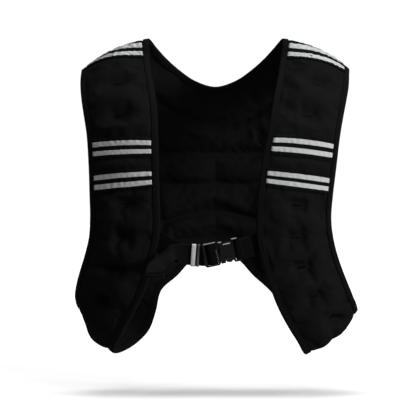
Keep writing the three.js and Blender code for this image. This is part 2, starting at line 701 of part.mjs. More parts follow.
// Blocks in the belt's frame, joined and cut into the buckle and the keeper.
const placed = (u, v, origin) => new THREE.Matrix4()
  .makeBasis(u.clone().multiplyScalar(STRETCH), BELT_D, v)
  .setPosition(origin);
const toBelt = placed(BELT_U, BELT_V, BELT_CENTRE);
const toRun = placed(RUN_U, RUN_V, RUN_START);

function block(u0, u1, d0, d1, v0, v1) {
  const geometry = new THREE.BoxGeometry(Math.abs(u1 - u0), Math.abs(d1 - d0), Math.abs(v1 - v0));
  geometry.translate((u0 + u1) / 2, (d0 + d1) / 2, (v0 + v1) / 2);
  return fromGeometry(geometry);
}

// A block with rounded corners in the plane of the belt.
function slab(outline, d0, d1, radius) {
  const shape = new THREE.Shape(outline.map(([u, v]) => new THREE.Vector2(u, v)));
  const bevel = radius;
  const geometry = new THREE.ExtrudeGeometry(shape, {
    depth: Math.abs(d1 - d0) - 2 * bevel,
    bevelEnabled: true,
    bevelThickness: bevel,
    bevelSize: bevel,
    bevelOffset: -bevel,
    bevelSegments: 1,
    curveSegments: 4,
  });
  geometry.rotateX(Math.PI / 2);
  geometry.translate(0, Math.max(d0, d1) - bevel, 0);
  return fromGeometry(geometry);
}

function fromGeometry(geometry) {
  const plain = new THREE.BufferGeometry();
  plain.setAttribute('position', geometry.getAttribute('position'));
  if (geometry.index) {
    plain.setIndex(geometry.index);
  }
  const merged = mergeVertices(plain, 1e-4);
  const mesh = new wasm.Mesh({
    numProp: 3,
    vertProperties: new Float32Array(merged.getAttribute('position').array),
    triVerts: new Uint32Array(merged.index.array),
  });
  mesh.merge();
  return new Manifold(mesh);
}

function placeSolid(name, body, look, frame = toBelt) {
  const mesh = body.getMesh();
  const geometry = new THREE.BufferGeometry();
  geometry.setAttribute('position', new THREE.BufferAttribute(new Float32Array(mesh.vertProperties), 3));
  geometry.setIndex(new THREE.BufferAttribute(new Uint32Array(mesh.triVerts), 1));
  geometry.applyMatrix4(frame);
  addMesh(name, mergeVertices(geometry, 1e-3), look);
}

const HALF_LONG = DRAWN_LENGTH / 2;
const HALF_HIGH = BUCKLE_HEIGHT / 2;
const WINDOW = WEB_WIDTH / 2 + 0.7;

function corners(u0, u1, v, cut) {
  return [[u0 + cut, -v], [u1 - cut, -v], [u1, -v + cut], [u1, v - cut], [u1 - cut, v], [u0 + cut, v],
    [u0, v - cut], [u0, -v + cut]];
}

function plug() {
  const frame = slab(corners(-HALF_LONG, -3.3, HALF_HIGH, 2.4), -4.2, 0.8, 1.0)
    .subtract(block(-HALF_LONG + 4, -6.5, -9, 9, -WINDOW, WINDOW));
  const bar = block(-15.6, -10.6, -1.9, 1.4, -WINDOW - 1, WINDOW + 1);
  const rib = (u) => block(u - 0.35, u + 0.35, -2.2, 0, -WINDOW - 0.5, WINDOW + 0.5);
  const ribs = [-14.9, -13.1, -11.3].map(rib);
  const tongue = block(-5, 12, -1.4, 1, -2.6, 2.6);
  const collar = block(-5, -1, -1.6, 1.2, -11.8, 11.8);
  const arm = (k) => slab([[-5, k * 8.4], [6.5, k * 8.4], [13.4, k * 8.8], [13.4, k * 12], [9.6, k * 14.6],
    [4.6, k * 13.2], [3.8, k * 11.4], [-5, k * 10.6]], -2.3, 1.5, 0.4);
  const body = Manifold.union([frame, bar, ...ribs, tongue, collar, arm(1), arm(-1)]);
  placeSolid('buckle_plug', body, 'plastic');
}

function socket() {
  const outline = [[-3, -14.2], [2.6, -14.2], [4, -10.6], [12.6, -10.6], [15, -HALF_HIGH],
    [HALF_LONG - 2, -HALF_HIGH], [HALF_LONG, -HALF_HIGH + 2], [HALF_LONG, HALF_HIGH - 2],
    [HALF_LONG - 2, HALF_HIGH], [15, HALF_HIGH], [12.6, 10.6], [4, 10.6], [2.6, 14.2], [-3, 14.2]];
  const shell = slab(outline, -BUCKLE_DEPTH / 2, BUCKLE_DEPTH / 2 - 1, 1.2)
    .subtract(block(-4, 14.2, -2.8, 2, -12.4, 12.4))
    .subtract(block(3.2, 13.4, -2.8, 2, -20, 20))
    .subtract(block(16.6, 20.6, -9, 9, -WINDOW, WINDOW))
    .subtract(block(16.6, 30, -9, -2.1, -WINDOW, WINDOW))
    .subtract(block(16.6, 30, 2, 9, -WINDOW, WINDOW));
  placeSolid('buckle_socket', shell, 'plastic');
}

function keeper() {
  const [u0, u1] = [-18.4, -7.1];
  const ring = block(u0, u1, 0.1, 6.4, -WINDOW - 1.4, WINDOW + 1.4)
    .subtract(block(u0 - 1, u1 + 1, 1.0, 5.5, -WINDOW - 0.4, WINDOW + 0.4));
  placeSolid('belt_keeper', ring, 'ribbon', toRun);
  placeSolid('belt_keeper_stripe_wide', block(-17.8, -12.3, -0.6, -0.2, -WINDOW, WINDOW), 'stripe', toRun);
  placeSolid('belt_keeper_stripe_narrow', block(-10.2, -7.5, -0.6, -0.2, -WINDOW, WINDOW), 'stripe', toRun);
}

plug();
socket();
keeper();

export default root;
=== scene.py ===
# %% [markdown]
# A weighted vest of soft filled cloth, shown in the form it has on a wearer. This file dresses
# the fixed frame that is loaded first. Every surface is a function of two numbers: s runs along
# a strip of the vest, t runs across it. The same short tables as the frame's give the course of
# the edges, so each new piece lies where the frame's plain solid lies.

import bpy
import numpy as np
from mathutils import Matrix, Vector


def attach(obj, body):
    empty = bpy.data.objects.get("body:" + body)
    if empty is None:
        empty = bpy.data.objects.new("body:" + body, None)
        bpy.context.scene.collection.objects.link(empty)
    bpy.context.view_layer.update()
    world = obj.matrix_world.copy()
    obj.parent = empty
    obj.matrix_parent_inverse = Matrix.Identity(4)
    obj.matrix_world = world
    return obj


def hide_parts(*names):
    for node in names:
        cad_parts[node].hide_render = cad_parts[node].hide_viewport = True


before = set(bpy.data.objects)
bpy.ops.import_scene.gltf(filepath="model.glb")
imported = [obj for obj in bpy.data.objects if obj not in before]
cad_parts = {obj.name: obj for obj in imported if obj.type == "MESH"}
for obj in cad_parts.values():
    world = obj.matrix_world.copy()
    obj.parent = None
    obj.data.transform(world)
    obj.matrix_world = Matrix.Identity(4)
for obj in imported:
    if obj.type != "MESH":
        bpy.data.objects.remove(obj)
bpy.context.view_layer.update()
MM = 0.001
print("frame nodes:", len(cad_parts))

# %% [markdown]
# The camera comes first. The photograph was taken level, from straight in front, from a few
# metres away. At 2.6 m one pixel of the picture is 1.35 mm on the vest, so the focal length
# follows from the sensor's width. It could be placed by eye, but a fixed size for a pixel keeps
# the picture and the tables in one scale.

# %% Camera
PIXEL_MM = 1.35
PICTURE = 420
DISTANCE = 2.6
AXIS_X = -7.4 * MM
AXIS_Z = -211 * MM
SENSOR = 36.0

camera_data = bpy.data.cameras.new("camera")
camera_data.sensor_width = SENSOR
camera_data.lens = SENSOR * DISTANCE / (PIXEL_MM * PICTURE * MM)
camera_data.clip_end = 60
camera = bpy.data.objects.new("camera", camera_data)
camera.location = (AXIS_X, -DISTANCE - 0.008, AXIS_Z)
camera.rotation_euler = (np.pi / 2, 0, 0)
bpy.context.scene.collection.objects.link(camera)
bpy.context.scene.camera = camera
print("lens in mm:", round(camera_data.lens, 1))

# %% [markdown]
# Driving sizes and tables. The real vest is cut flat and takes its form on a body. Flat pieces
# could be draped over a torso, but its edges are what the photograph shows best, so they are
# written down as tables. A row holds x, y, z of the inner edge, then x, y, z of the armhole
# edge, then how far the strip is crowned, all as shares of the sizes above it.

# %% Sizes and tables of the form
HALF_WIDTH = 185.0
HALF_DEPTH = 100.0
LENGTH = 420.0
CROWN = 7.0
EDGE_HALF = 2.4
SEAM_HALF = 2.8
REACH = 7.0
PUFF_RUN = 34.0

FRONT_RIGHT = np.array([
    [0.493, -0.06, 0.040, 0.961, 0.04, -0.053, 1.00],
    [0.483, -0.17, -0.015, 0.959, -0.18, -0.075, 1.00],
    [0.465, -0.38, -0.061, 0.948, -0.38, -0.115, 1.00],
    [0.438, -0.65, -0.116, 0.927, -0.55, -0.155, 1.00],
    [0.405, -0.89, -0.188, 0.897, -0.68, -0.213, 1.00],
    [0.375, -1.01, -0.260, 0.868, -0.80, -0.280, 1.00],
    [0.335, -1.09, -0.348, 0.841, -0.87, -0.371, 1.00],
    [0.307, -1.12, -0.434, 0.815, -0.90, -0.462, 1.00],
    [0.295, -1.13, -0.515, 0.804, -0.91, -0.527, 1.00],
    [0.296, -1.12, -0.595, 0.815, -0.89, -0.577, 1.00],
    [0.335, -1.09, -0.666, 0.841, -0.85, -0.629, 1.00],
    [0.385, -1.03, -0.734, 0.879, -0.79, -0.679, 1.00],
    [0.446, -0.96, -0.803, 0.922, -0.70, -0.725, 1.00],
    [0.519, -0.86, -0.864, 0.961, -0.59, -0.764, 0.86],
    [0.590, -0.73, -0.914, 0.996, -0.45, -0.797, 0.86],
    [0.638, -0.52, -0.951, 1.014, -0.26, -0.817, 0.71],
    [0.647, -0.30, -0.939, 1.012, -0.05, -0.801, 0.71],
    [0.624, -0.08, -0.914, 0.983, 0.14, -0.771, 0.71],
    [0.578, 0.16, -0.872, 0.924, 0.34, -0.724, 0.57],
    [0.518, 0.42, -0.823, 0.856, 0.52, -0.667, 0.57],
])
FRONT_LEFT = np.array([
    [0.489, -0.06, 0.040, 0.962, 0.10, -0.059, 1.00],
    [0.487, -0.17, -0.015, 0.966, -0.10, -0.065, 1.00],
    [0.473, -0.38, -0.061, 0.966, -0.30, -0.101, 1.00],
    [0.447, -0.65, -0.116, 0.952, -0.50, -0.151, 1.00],
    [0.422, -0.89, -0.188, 0.929, -0.63, -0.206, 1.00],
    [0.413, -1.02, -0.264, 0.905, -0.72, -0.267, 1.00],
    [0.408, -1.09, -0.351, 0.889, -0.78, -0.360, 1.00],
    [0.404, -1.12, -0.434, 0.881, -0.81, -0.455, 1.00],
    [0.397, -1.13, -0.511, 0.877, -0.81, -0.521, 1.00],
    [0.401, -1.12, -0.582, 0.885, -0.78, -0.584, 1.00],
    [0.436, -1.10, -0.650, 0.911, -0.74, -0.634, 1.00],
    [0.479, -1.06, -0.722, 0.942, -0.68, -0.678, 1.00],
    [0.543, -1.00, -0.787, 0.973, -0.60, -0.723, 1.00],
    [0.612, -0.91, -0.844, 0.992, -0.48, -0.759, 0.86],
    [0.683, -0.78, -0.899, 0.997, -0.34, -0.782, 0.86],
    [0.731, -0.56, -0.941, 0.993, -0.16, -0.800, 0.71],
    [0.691, -0.30, -0.950, 0.976, 0.06, -0.796, 0.71],
    [0.588, -0.06, -0.928, 0.942, 0.26, -0.766, 0.71],
    [0.497, 0.18, -0.889, 0.896, 0.44, -0.722, 0.57],
    [0.453, 0.42, -0.836, 0.856, 0.58, -0.667, 0.57],
])
BACK_HALF = np.array([
    [0.411, 0.68, -0.764, 0.786, 0.68, -0.601, 0.57],
    [0.292, 0.83, -0.717, 0.747, 0.75, -0.539, 0.71],
    [0.172, 0.90, -0.662, 0.729, 0.79, -0.489, 0.71],
    [0.000, 0.93, -0.629, 0.722, 0.80, -0.446, 0.71],
    [0.000, 0.94, -0.542, 0.722, 0.80, -0.422, 0.71],
    [0.000, 0.93, -0.435, 0.722, 0.80, -0.403, 0.71],
    [0.000, 0.89, -0.319, 0.722, 0.79, -0.383, 0.71],
    [0.000, 0.82, -0.203, 0.721, 0.78, -0.363, 0.71],
    [0.000, 0.72, -0.098, 0.724, 0.75, -0.336, 0.71],
    [0.155, 0.66, -0.079, 0.734, 0.69, -0.277, 0.71],
    [0.274, 0.55, -0.045, 0.767, 0.56, -0.212, 0.86],
    [0.369, 0.40, -0.010, 0.832, 0.38, -0.146, 0.86],
    [0.439, 0.18, 0.020, 0.904, 0.20, -0.091, 1.00],
])
SIDE_SEAM = 19
HEM_MIDDLE = 23
NECK_MIDDLE = 28
ROWS = 33
print("rows of one side:", len(FRONT_RIGHT) + len(BACK_HALF))

# %% [markdown]
# A smooth line through the tables' points is a centripetal Catmull-Rom curve. Its knots are
# spaced by the square root of the distance between the points, which keeps it from looping
# where the points come close together, as on the crest of the shoulder. Straight lines between
# the points would be simpler, but they would show as corners along the binding.


# %% A smooth curve through points
def curve_through(points, at, closed=False):
    """Position on the curve at each index in at. Between two points it is the cubic whose end
    slopes are those of the parabolas through the neighbouring points, knots spaced by the
    square root of distance."""
    count = len(points)
    at = np.asarray(at, float)
    if closed:
        first = np.floor(at).astype(int)
        p0, p1, p2, p3 = (points[(first + k) % count] for k in (-1, 0, 1, 2))
    else:
        first = np.clip(np.floor(at).astype(int), 0, count - 2)
        padded = np.vstack([2 * points[0] - points[1], points, 2 * points[-1] - points[-2]])
        p0, p1, p2, p3 = (padded[first + k] for k in (0, 1, 2, 3))
    f = (at - first)[..., None]
    d0, d1, d2 = (
        np.maximum(np.sqrt(np.linalg.norm(b - a, axis=-1, keepdims=True)), 1e-4)
        for a, b in ((p0, p1), (p1, p2), (p2, p3))
    )
    m1 = ((p1 - p0) / d0 - (p2 - p0) / (d0 + d1) + (p2 - p1) / d1) * d1
    m2 = ((p2 - p1) / d1 - (p3 - p1) / (d1 + d2) + (p3 - p2) / d2) * d1
    c2 = -3 * p1 + 3 * p2 - 2 * m1 - m2
    c3 = 2 * p1 - 2 * p2 + m1 + m2
    return p1 + m1 * f + c2 * f**2 + c3 * f**3


def smooth(x):
    """Eases from 0 to 1: three x squared minus two x cubed, held flat outside."""
    x = np.clip(x, 0, 1)
    return x * x * (3 - 2 * x)


def unit(v):
    """Vectors of length one: each divided by its own length."""
    return v / np.maximum(np.linalg.norm(v, axis=-1, keepdims=True), 1e-9)


bend = np.array([[0.0, 0, 0], [1, 0, 0], [2, 1, 0]])
print("half way along a test bend:", curve_through(bend, np.array([0.5])).round(3))


# %% [markdown]
# One side of the vest is a closed loop round the armhole: down the front, round the turn at
# the bottom, up the back and over the shoulder. Its inner edge leaves the loop at the middle of
# the hem and follows the middle line of the back up to the neck. It could be laid through many
# drawn sections, but two edges and a crown take fewer numbers and keep the edges exact.


# %% One side of the vest as a surface
class Side:
    """Gives point(s, t) and normal(s, t) in millimetres for one side."""

    def __init__(self, sign, front, dents):
        self.sign = sign
        self.dents = dents
        table = np.vstack([front, BACK_HALF])
        scale = np.array([sign * HALF_WIDTH, HALF_DEPTH, LENGTH])
        self.inner = table[:, 0:3] * scale
        self.outer = table[:, 3:6] * scale
        self.crown = table[:, 6] * CROWN
        mirror = np.array([-1, 1, 1])
        order = [i % ROWS for i in range(NECK_MIDDLE, HEM_MIDDLE + ROWS + 1)]
        self.long = np.vstack([
            self.inner[NECK_MIDDLE + 1] * mirror,
            self.inner[order],
            self.inner[HEM_MIDDLE - 1] * mirror,
        ])
        self.middle = self.inner[HEM_MIDDLE:NECK_MIDDLE + 1]

    def inner_at(self, s):
        r = np.mod(s, ROWS)
        on_middle = (r > HEM_MIDDLE) & (r < NECK_MIDDLE)
        k = np.where(r >= NECK_MIDDLE, r - NECK_MIDDLE, r + ROWS - NECK_MIDDLE)
        k = np.where(on_middle, 1, k)
        loop = curve_through(self.long, k + 1)
        line = curve_through(self.middle, np.where(on_middle, r - HEM_MIDDLE, 0))
        return np.where(on_middle[..., None], line, loop)

    def outer_at(self, s):
        return curve_through(self.outer, np.mod(s, ROWS), closed=True)

    def crown_at(self, s):
        r = np.mod(s, ROWS)
        i = np.floor(r).astype(int) % ROWS
        f = r - np.floor(r)
        return self.crown[i] * (1 - f) + self.crown[(i + 1) % ROWS] * f

    def straight(self, s, t):
        t = t[..., None]
        return self.inner_at(s) * (1 - t) + self.outer_at(s) * t

    def width(self, s):
        """Distance from the inner edge to the armhole edge."""
        return np.linalg.norm(self.outer_at(s) - self.inner_at(s), axis=-1)

    def point(self, s, t):
        """The straight line across the strip, lifted off it by the crown: four t (1 - t) on
        the front, and a bow that starts level from the middle line on the back."""
        across = self.outer_at(s) - self.inner_at(s)
        along = self.straight(s + 0.7, t) - self.straight(s - 0.7, t)
        lift = unit(np.cross(along, across)) * self.sign
        r = np.mod(s, ROWS)
        k = smooth((r - SIDE_SEAM - 0.5) / 2.5) * smooth((ROWS - 0.5 - r) / 2.5)
        bow = (1 - k) * 4 * t * (1 - t) + k * 6.75 * t * t * (1 - t)
        height = self.crown_at(s) * bow
        for s0, t0, ds, dt, depth, slant in self.dents:
            away = ((r - s0 - slant * (t - t0)) / ds) ** 2 + ((t - t0) / dt) ** 2
            height = height - depth * np.exp(-away)
        return self.straight(s, t) + lift * height[..., None]

    def normal(self, s, t):
        across = self.point(s, np.minimum(1, t + 0.03)) - self.point(s, np.maximum(0, t - 0.03))
        along = self.point(s + 0.3, t) - self.point(s - 0.3, t)
        return unit(np.cross(along, across)) * self.sign


# Dents and creases of the worn cloth: row, share across, reach along in rows, reach across as a
# share, depth in mm, slant in rows per width.
DENTS_RIGHT = [
    (2.6, 0.55, 0.30, 0.16, 2.7, 0.0),
    (4.2, 0.50, 0.30, 0.20, 2.7, 0.3),
    (7.5, 0.50, 0.30, 0.18, 3.4, 0.0),
    (9.0, 0.45, 0.40, 0.25, 3.4, 0.0),
    (10.5, 0.48, 0.35, 0.22, 4.1, 0.0),
    (12.1, 0.45, 0.30, 0.16, 5.4, -1.6),
    (13.9, 0.62, 0.50, 0.13, 8.8, 2.0),
    (13.2, 0.80, 0.22, 0.14, 4.1, 1.5),
    (15.1, 0.45, 0.70, 0.12, 6.1, 0.0),
]
DENTS_LEFT = [
    (2.7, 0.46, 0.30, 0.16, 2.0, 0.0),
    (4.3, 0.50, 0.25, 0.20, 2.0, 0.0),
    (7.6, 0.42, 0.45, 0.16, 4.7, 1.0),
    (9.0, 0.45, 0.35, 0.20, 5.4, 0.0),
    (10.6, 0.36, 0.30, 0.42, 7.4, 0.4),
    (12.4, 0.50, 0.45, 0.14, 7.4, 0.0),
    (14.3, 0.86, 0.30, 0.12, 5.4, 0.0),
    (15.3, 0.62, 0.80, 0.16, 12.5, 0.0),
]
right = Side(1, FRONT_RIGHT, DENTS_RIGHT)
left = Side(-1, FRONT_LEFT, DENTS_LEFT)
print("chest point:", right.point(np.array([7.0]), np.array([0.5])).round(1))

# %% [markdown]
# Helpers that turn arrays into meshes. A grid of points becomes quads, and a shell is a grid
# with an outer and an inner face and a wall wherever an edge belongs to one quad only. The UV
# map carries millimetres along and across the piece, so that a weave keeps its real size. Faces
# could be added one by one, but whole arrays of them are quicker and leave less to go wrong.


# %% Mesh helpers
def grid_quads(rows, cols, flip=False):
    """Quads of a grid whose vertices are numbered row by row."""
    i, j = np.meshgrid(np.arange(rows - 1), np.arange(cols - 1), indexing="ij")
    i, j = i.ravel(), j.ravel()
    k = i + 1
    quads = np.stack([i * cols + j, k * cols + j, k * cols + j + 1, i * cols + j + 1], 1)
    return quads[:, ::-1] if flip else quads


def tube_quads(rings, count, closed):
    """Quads between neighbouring rings of points, and from last to first when closed."""
    i = np.arange(rings if closed else rings - 1)[:, None]
    j = np.arange(count)
    m, k = (i + 1) % rings, (j + 1) % count
    quads = np.stack([i * count + j, m * count + j, m * count + k, i * count + k], -1)
    return quads.reshape(-1, 4)


def build_mesh(name, points, quads, uv=None, material=None, caps=()):
    """A mesh object at the origin from millimetre points, an array of quads and end caps."""
    mesh = bpy.data.meshes.new(name)
    faces = np.asarray(quads).tolist() + list(caps)
    mesh.from_pydata((np.asarray(points) * MM).tolist(), [], faces)
    if uv is not None:
        loops = np.empty(len(mesh.loops), np.int32)
        mesh.loops.foreach_get("vertex_index", loops)
        layer = mesh.uv_layers.new(name="cloth")
        layer.data.foreach_set("uv", np.asarray(uv, np.float32)[loops].ravel())
    mesh.polygons.foreach_set("use_smooth", np.ones(len(mesh.polygons), bool))
    if material:
        mesh.materials.append(material)
    piece = bpy.data.objects.new(name, mesh)
    bpy.context.scene.collection.objects.link(piece)
    return piece


def shell_faces(quads, count):
    """Faces of a closed shell: outer quads, the same quads turned over on the inner face, and
    a wall quad on every border edge."""
    edges = np.concatenate([quads[:, [k, (k + 1) % 4]] for k in range(4)])
    key = np.sort(edges, axis=1)
    _, index, uses = np.unique(key, axis=0, return_index=True, return_counts=True)
    border = edges[index[uses == 1]]
    walls = np.stack([border[:, 1], border[:, 0], border[:, 0] + count, border[:, 1] + count], 1)
    return np.concatenate([quads, quads[:, ::-1] + count, walls])


def sampled(values, rows, cols):
    """Bilinear reading of a grid of vectors at float rows and columns."""
    i = np.clip(np.floor(rows).astype(int), 0, values.shape[0] - 2)
    j = np.clip(np.floor(cols).astype(int), 0, values.shape[1] - 2)
    f = (rows - i)[..., None]
    g = (cols - j)[..., None]
    return (
        values[i, j] * (1 - f) * (1 - g) + values[i + 1, j] * f * (1 - g)
        + values[i, j + 1] * (1 - f) * g + values[i + 1, j + 1] * f * g
    )


def near(points, lines):
    """Distance from each point to the closest point of the lines, in batches."""
    lines = np.asarray(lines)
    best = [
        np.sqrt(((part[:, None, :] - lines[None]) ** 2).sum(-1).min(1))
        for part in np.array_split(points, max(1, len(points) // 800))
    ]
    return np.concatenate(best)


def run_length(points):
    """Distance along a line of points: the running sum of its steps, from zero."""
    steps = np.linalg.norm(np.diff(points, axis=0), axis=1)
    return np.concatenate([[0], np.cumsum(steps)])


print("quads of a grid of 3 by 4 points:", len(grid_quads(3, 4)))


# %% [markdown]
# Materials. All the cloth is close to black, so it is the gloss, the bump and the small
# differences of tone that tell knit from tape and webbing. One node group makes every woven or
# knitted height from the UV map in millimetres, and one makes the soft unevenness of tone.


# %% Node groups shared by the finishes
def group(name, inputs, outputs):
    """An empty node group with its sockets, and its two end nodes."""
    tree = bpy.data.node_groups.new(name, "ShaderNodeTree")
    for label, kind, value in inputs:
        socket = tree.interface.new_socket(name=label, in_out="INPUT", socket_type=kind)
        if value is not None:
            socket.default_value = value
    for label, kind in outputs:
        tree.interface.new_socket(name=label, in_out="OUTPUT", socket_type=kind)
    return tree, tree.nodes.new("NodeGroupInput"), tree.nodes.new("NodeGroupOutput")


def maths(tree, operation, a, b=None, c=None):
    """The output of one sum; each term is a number or another node's output."""
    node = tree.nodes.new("ShaderNodeMath")
    node.operation = operation
    for socket, value in zip(node.inputs, (a, b, c)):
        if value is None:
            continue
        if isinstance(value, (int, float)):
            socket.default_value = value
        else:
            tree.links.new(value, socket)
    return node.outputs[0]


def weave_group():
    """Height of crossing ribs: the higher of two rows of rounded ribs, each the absolute sine
    of its own coordinate, with every second rib set half a step along the other way."""
    tree, enter, leave = group(
        "woven height",
        [("Vector", "NodeSocketVector", None), ("Across", "NodeSocketFloat", 1.0),
         ("Along", "NodeSocketFloat", 1.0), ("Slant", "NodeSocketFloat", 0.0)],
        [("Height", "NodeSocketFloat"), ("Mask", "NodeSocketFloat")],
    )
    split = tree.nodes.new("ShaderNodeSeparateXYZ")
    tree.links.new(enter.outputs["Vector"], split.inputs[0])
    slanted = maths(tree, "MULTIPLY", split.outputs["Y"], enter.outputs["Slant"])
    u = maths(tree, "ADD", split.outputs["X"], slanted)
    a = maths(tree, "MULTIPLY", u, enter.outputs["Across"])
    b = maths(tree, "MULTIPLY", split.outputs["Y"], enter.outputs["Along"])
    step = maths(tree, "MULTIPLY", maths(tree, "FLOOR", a), 0.5)
    b = maths(tree, "ADD", b, step)
    rib = maths(tree, "ABSOLUTE", maths(tree, "SINE", maths(tree, "MULTIPLY", a, np.pi)))
    knot = maths(tree, "ABSOLUTE", maths(tree, "SINE", maths(tree, "MULTIPLY", b, np.pi)))
    rib, knot = maths(tree, "POWER", rib, 0.6), maths(tree, "POWER", knot, 0.4)
    height = maths(tree, "MULTIPLY", rib, knot)
    tree.links.new(height, leave.inputs["Height"])
    # The height squared sets the colour: darker in the hollows between threads, a painted shade.
    tree.links.new(maths(tree, "POWER", height, 2.0), leave.inputs["Mask"])
    return tree


def tone_group():
    """A slow cloud of tone plus fine fibres of it, from noise on Object coordinates."""
    tree, enter, leave = group(
        "uneven tone",
        [("Vector", "NodeSocketVector", None), ("Size", "NodeSocketFloat", 18.0),
         ("Fine", "NodeSocketFloat", 600.0)],
        [("Cloud", "NodeSocketFloat"), ("Fibre", "NodeSocketFloat")],
    )
    for label, source, detail in (("Cloud", "Size", 3.0), ("Fibre", "Fine", 2.0)):
        noise = tree.nodes.new("ShaderNodeTexNoise")
        noise.inputs["Detail"].default_value = detail
        tree.links.new(enter.outputs["Vector"], noise.inputs["Vector"])
        tree.links.new(enter.outputs[source], noise.inputs["Scale"])
        tree.links.new(noise.outputs["Fac"], leave.inputs[label])
    return tree


WEAVE = weave_group()
TONE = tone_group()
print("node groups:", [g.name for g in bpy.data.node_groups])

# %% [markdown]
# The vest has a knitted outer cloth, folded tape, dull ribbon, ribbed webbing and thread.
# Pictures of such cloths could be laid on, but they repeat and bring their own light. So
# So colour and bump both come from one woven height, in the real size of the threads, and the colour is
# darker in the hollows between threads: painted shade.


# %% A finish of woven or knitted cloth
def cloth_finish(name, dark, light, across, along, slant=0.0, rough=0.85, relief=0.15,
                 specular=0.2, metallic=0.0):
    """Cloth whose colour runs from dark between the threads to light on top of them: painted shade in the
    hollows of the weave, mixed with random unevenness of tone.
    """
    material = bpy.data.materials.new(name)
    material.use_nodes = True
    tree = material.node_tree
    shader = tree.nodes["Principled BSDF"]
    shader.inputs["Specular IOR Level"].default_value = specular
    shader.inputs["Metallic"].default_value = metallic
    place = tree.nodes.new("ShaderNodeTexCoord")
    weave = tree.nodes.new("ShaderNodeGroup")
    weave.node_tree = WEAVE
    tree.links.new(place.outputs["UV"], weave.inputs["Vector"])
    weave.inputs["Across"].default_value = across
    weave.inputs["Along"].default_value = along
    weave.inputs["Slant"].default_value = slant
    tone = tree.nodes.new("ShaderNodeGroup")
    tone.node_tree = TONE
    tree.links.new(place.outputs["Object"], tone.inputs["Vector"])
    # Painted shade: darker where the weave is low, mixed with random tone of fibre and cloud.
    share = maths(tree, "MULTIPLY_ADD", weave.outputs["Mask"], 0.55,
                  maths(tree, "MULTIPLY_ADD", tone.outputs["Fibre"], 0.3,
                        maths(tree, "MULTIPLY", tone.outputs["Cloud"], 0.35)))
    mix = tree.nodes.new("ShaderNodeMix")
    mix.data_type = "RGBA"
    mix.inputs["A"].default_value = (*dark, 1)
    mix.inputs["B"].default_value = (*light, 1)
    tree.links.new(share, mix.inputs["Factor"])
    tree.links.new(mix.outputs["Result"], shader.inputs["Base Color"])
    tree.links.new(maths(tree, "MULTIPLY_ADD", tone.outputs["Cloud"], 0.12, rough - 0.06),
                   shader.inputs["Roughness"])
    bump = tree.nodes.new("ShaderNodeBump")
    bump.inputs["Strength"].default_value = 0.5
    bump.inputs["Distance"].default_value = relief * MM
    tree.links.new(weave.outputs["Height"], bump.inputs["Height"])
    tree.links.new(bump.outputs["Normal"], shader.inputs["Normal"])
    return material


KNIT = cloth_finish("black jersey", (0.0023, 0.0023, 0.0024), (0.009, 0.009, 0.0092),
                    across=1.1, along=0.8, specular=0.035)
TAPE = cloth_finish("binding tape", (0.0018, 0.0018, 0.0019), (0.0074, 0.0074, 0.0077),
                    across=1.6, along=1.6, slant=0.6, rough=0.75, specular=0.05)
RIBBON = cloth_finish("dark ribbon", (0.0018, 0.0018, 0.0019), (0.0068, 0.0068, 0.007),
                      across=0.9, along=2.2, rough=0.7, specular=0.05)
WEBBING = cloth_finish("webbing", (0.0011, 0.0011, 0.0011), (0.0047, 0.0047, 0.0048),
                       across=0.55, along=0.9, slant=0.35, rough=0.65, relief=0.3,
                       specular=0.06)
THREAD = cloth_finish("sewing thread", (0.0016, 0.0016, 0.0017), (0.0055, 0.0055, 0.0057),
                      across=2.5, along=2.5, rough=0.6, specular=0.04)
print("cloth finishes:", [m.name for m in (KNIT, TAPE, RIBBON, WEBBING, THREAD)])

# %% [markdown]
# The stripes are thin film with fine glass beads, and the buckle is moulded plastic. The film
# could throw a beam straight back as the real one does. In the photograph's soft light it is
# just light grey, so it is a fine grain with a little metal in it.


# %% Reflective film and moulded plastic
def plastic_finish():
    """Black acetal: smooth and glossy with a faint mould grain and rubbed, duller spots."""
    material = bpy.data.materials.new("black plastic")
    material.use_nodes = True
    tree = material.node_tree
    shader = tree.nodes["Principled BSDF"]
    shader.inputs["Base Color"].default_value = (0.003, 0.003, 0.003, 1)
    shader.inputs["Specular IOR Level"].default_value = 0.45
    place = tree.nodes.new("ShaderNodeTexCoord")
    tone = tree.nodes.new("ShaderNodeGroup")
    tone.node_tree = TONE
    tone.inputs["Size"].default_value = 90
    tone.inputs["Fine"].default_value = 1400
    tree.links.new(place.outputs["Object"], tone.inputs["Vector"])
    tree.links.new(maths(tree, "MULTIPLY_ADD", tone.outputs["Cloud"], 0.16, 0.1),
                   shader.inputs["Roughness"])
    bump = tree.nodes.new("ShaderNodeBump")
    bump.inputs["Strength"].default_value = 0.25
    bump.inputs["Distance"].default_value = 0.03 * MM
    tree.links.new(tone.outputs["Fibre"], bump.inputs["Height"])
    tree.links.new(bump.outputs["Normal"], shader.inputs["Normal"])
    return material


FILM = cloth_finish("reflective film", (0.38, 0.385, 0.39), (0.58, 0.585, 0.595), 2.6, 2.6,
                    rough=0.5, relief=0.05, specular=0.5, metallic=0.15)
# A darker copy of the film, painted shade for the keeper's narrow stripe.
FILM_PAINTED_SHADE = cloth_finish("reflective film, darker as painted shade", (0.05, 0.051, 0.052), (0.1, 0.101, 0.104),
                         2.6, 2.6, rough=0.5, relief=0.05, specular=0.3)
PLASTIC = plastic_finish()
print("all finishes:", [m.name for m in bpy.data.materials])

# %% [markdown]
# The filled panels. Two cloths hold a fine, heavy filling between them and are drawn together
# at short tacks and along stitch lines. Each panel starts as a shell whose two faces bulge
# apart away from its bound edges and close up at the tacks and lines. It could start flat, but
# then the simulation would have to find the whole form.


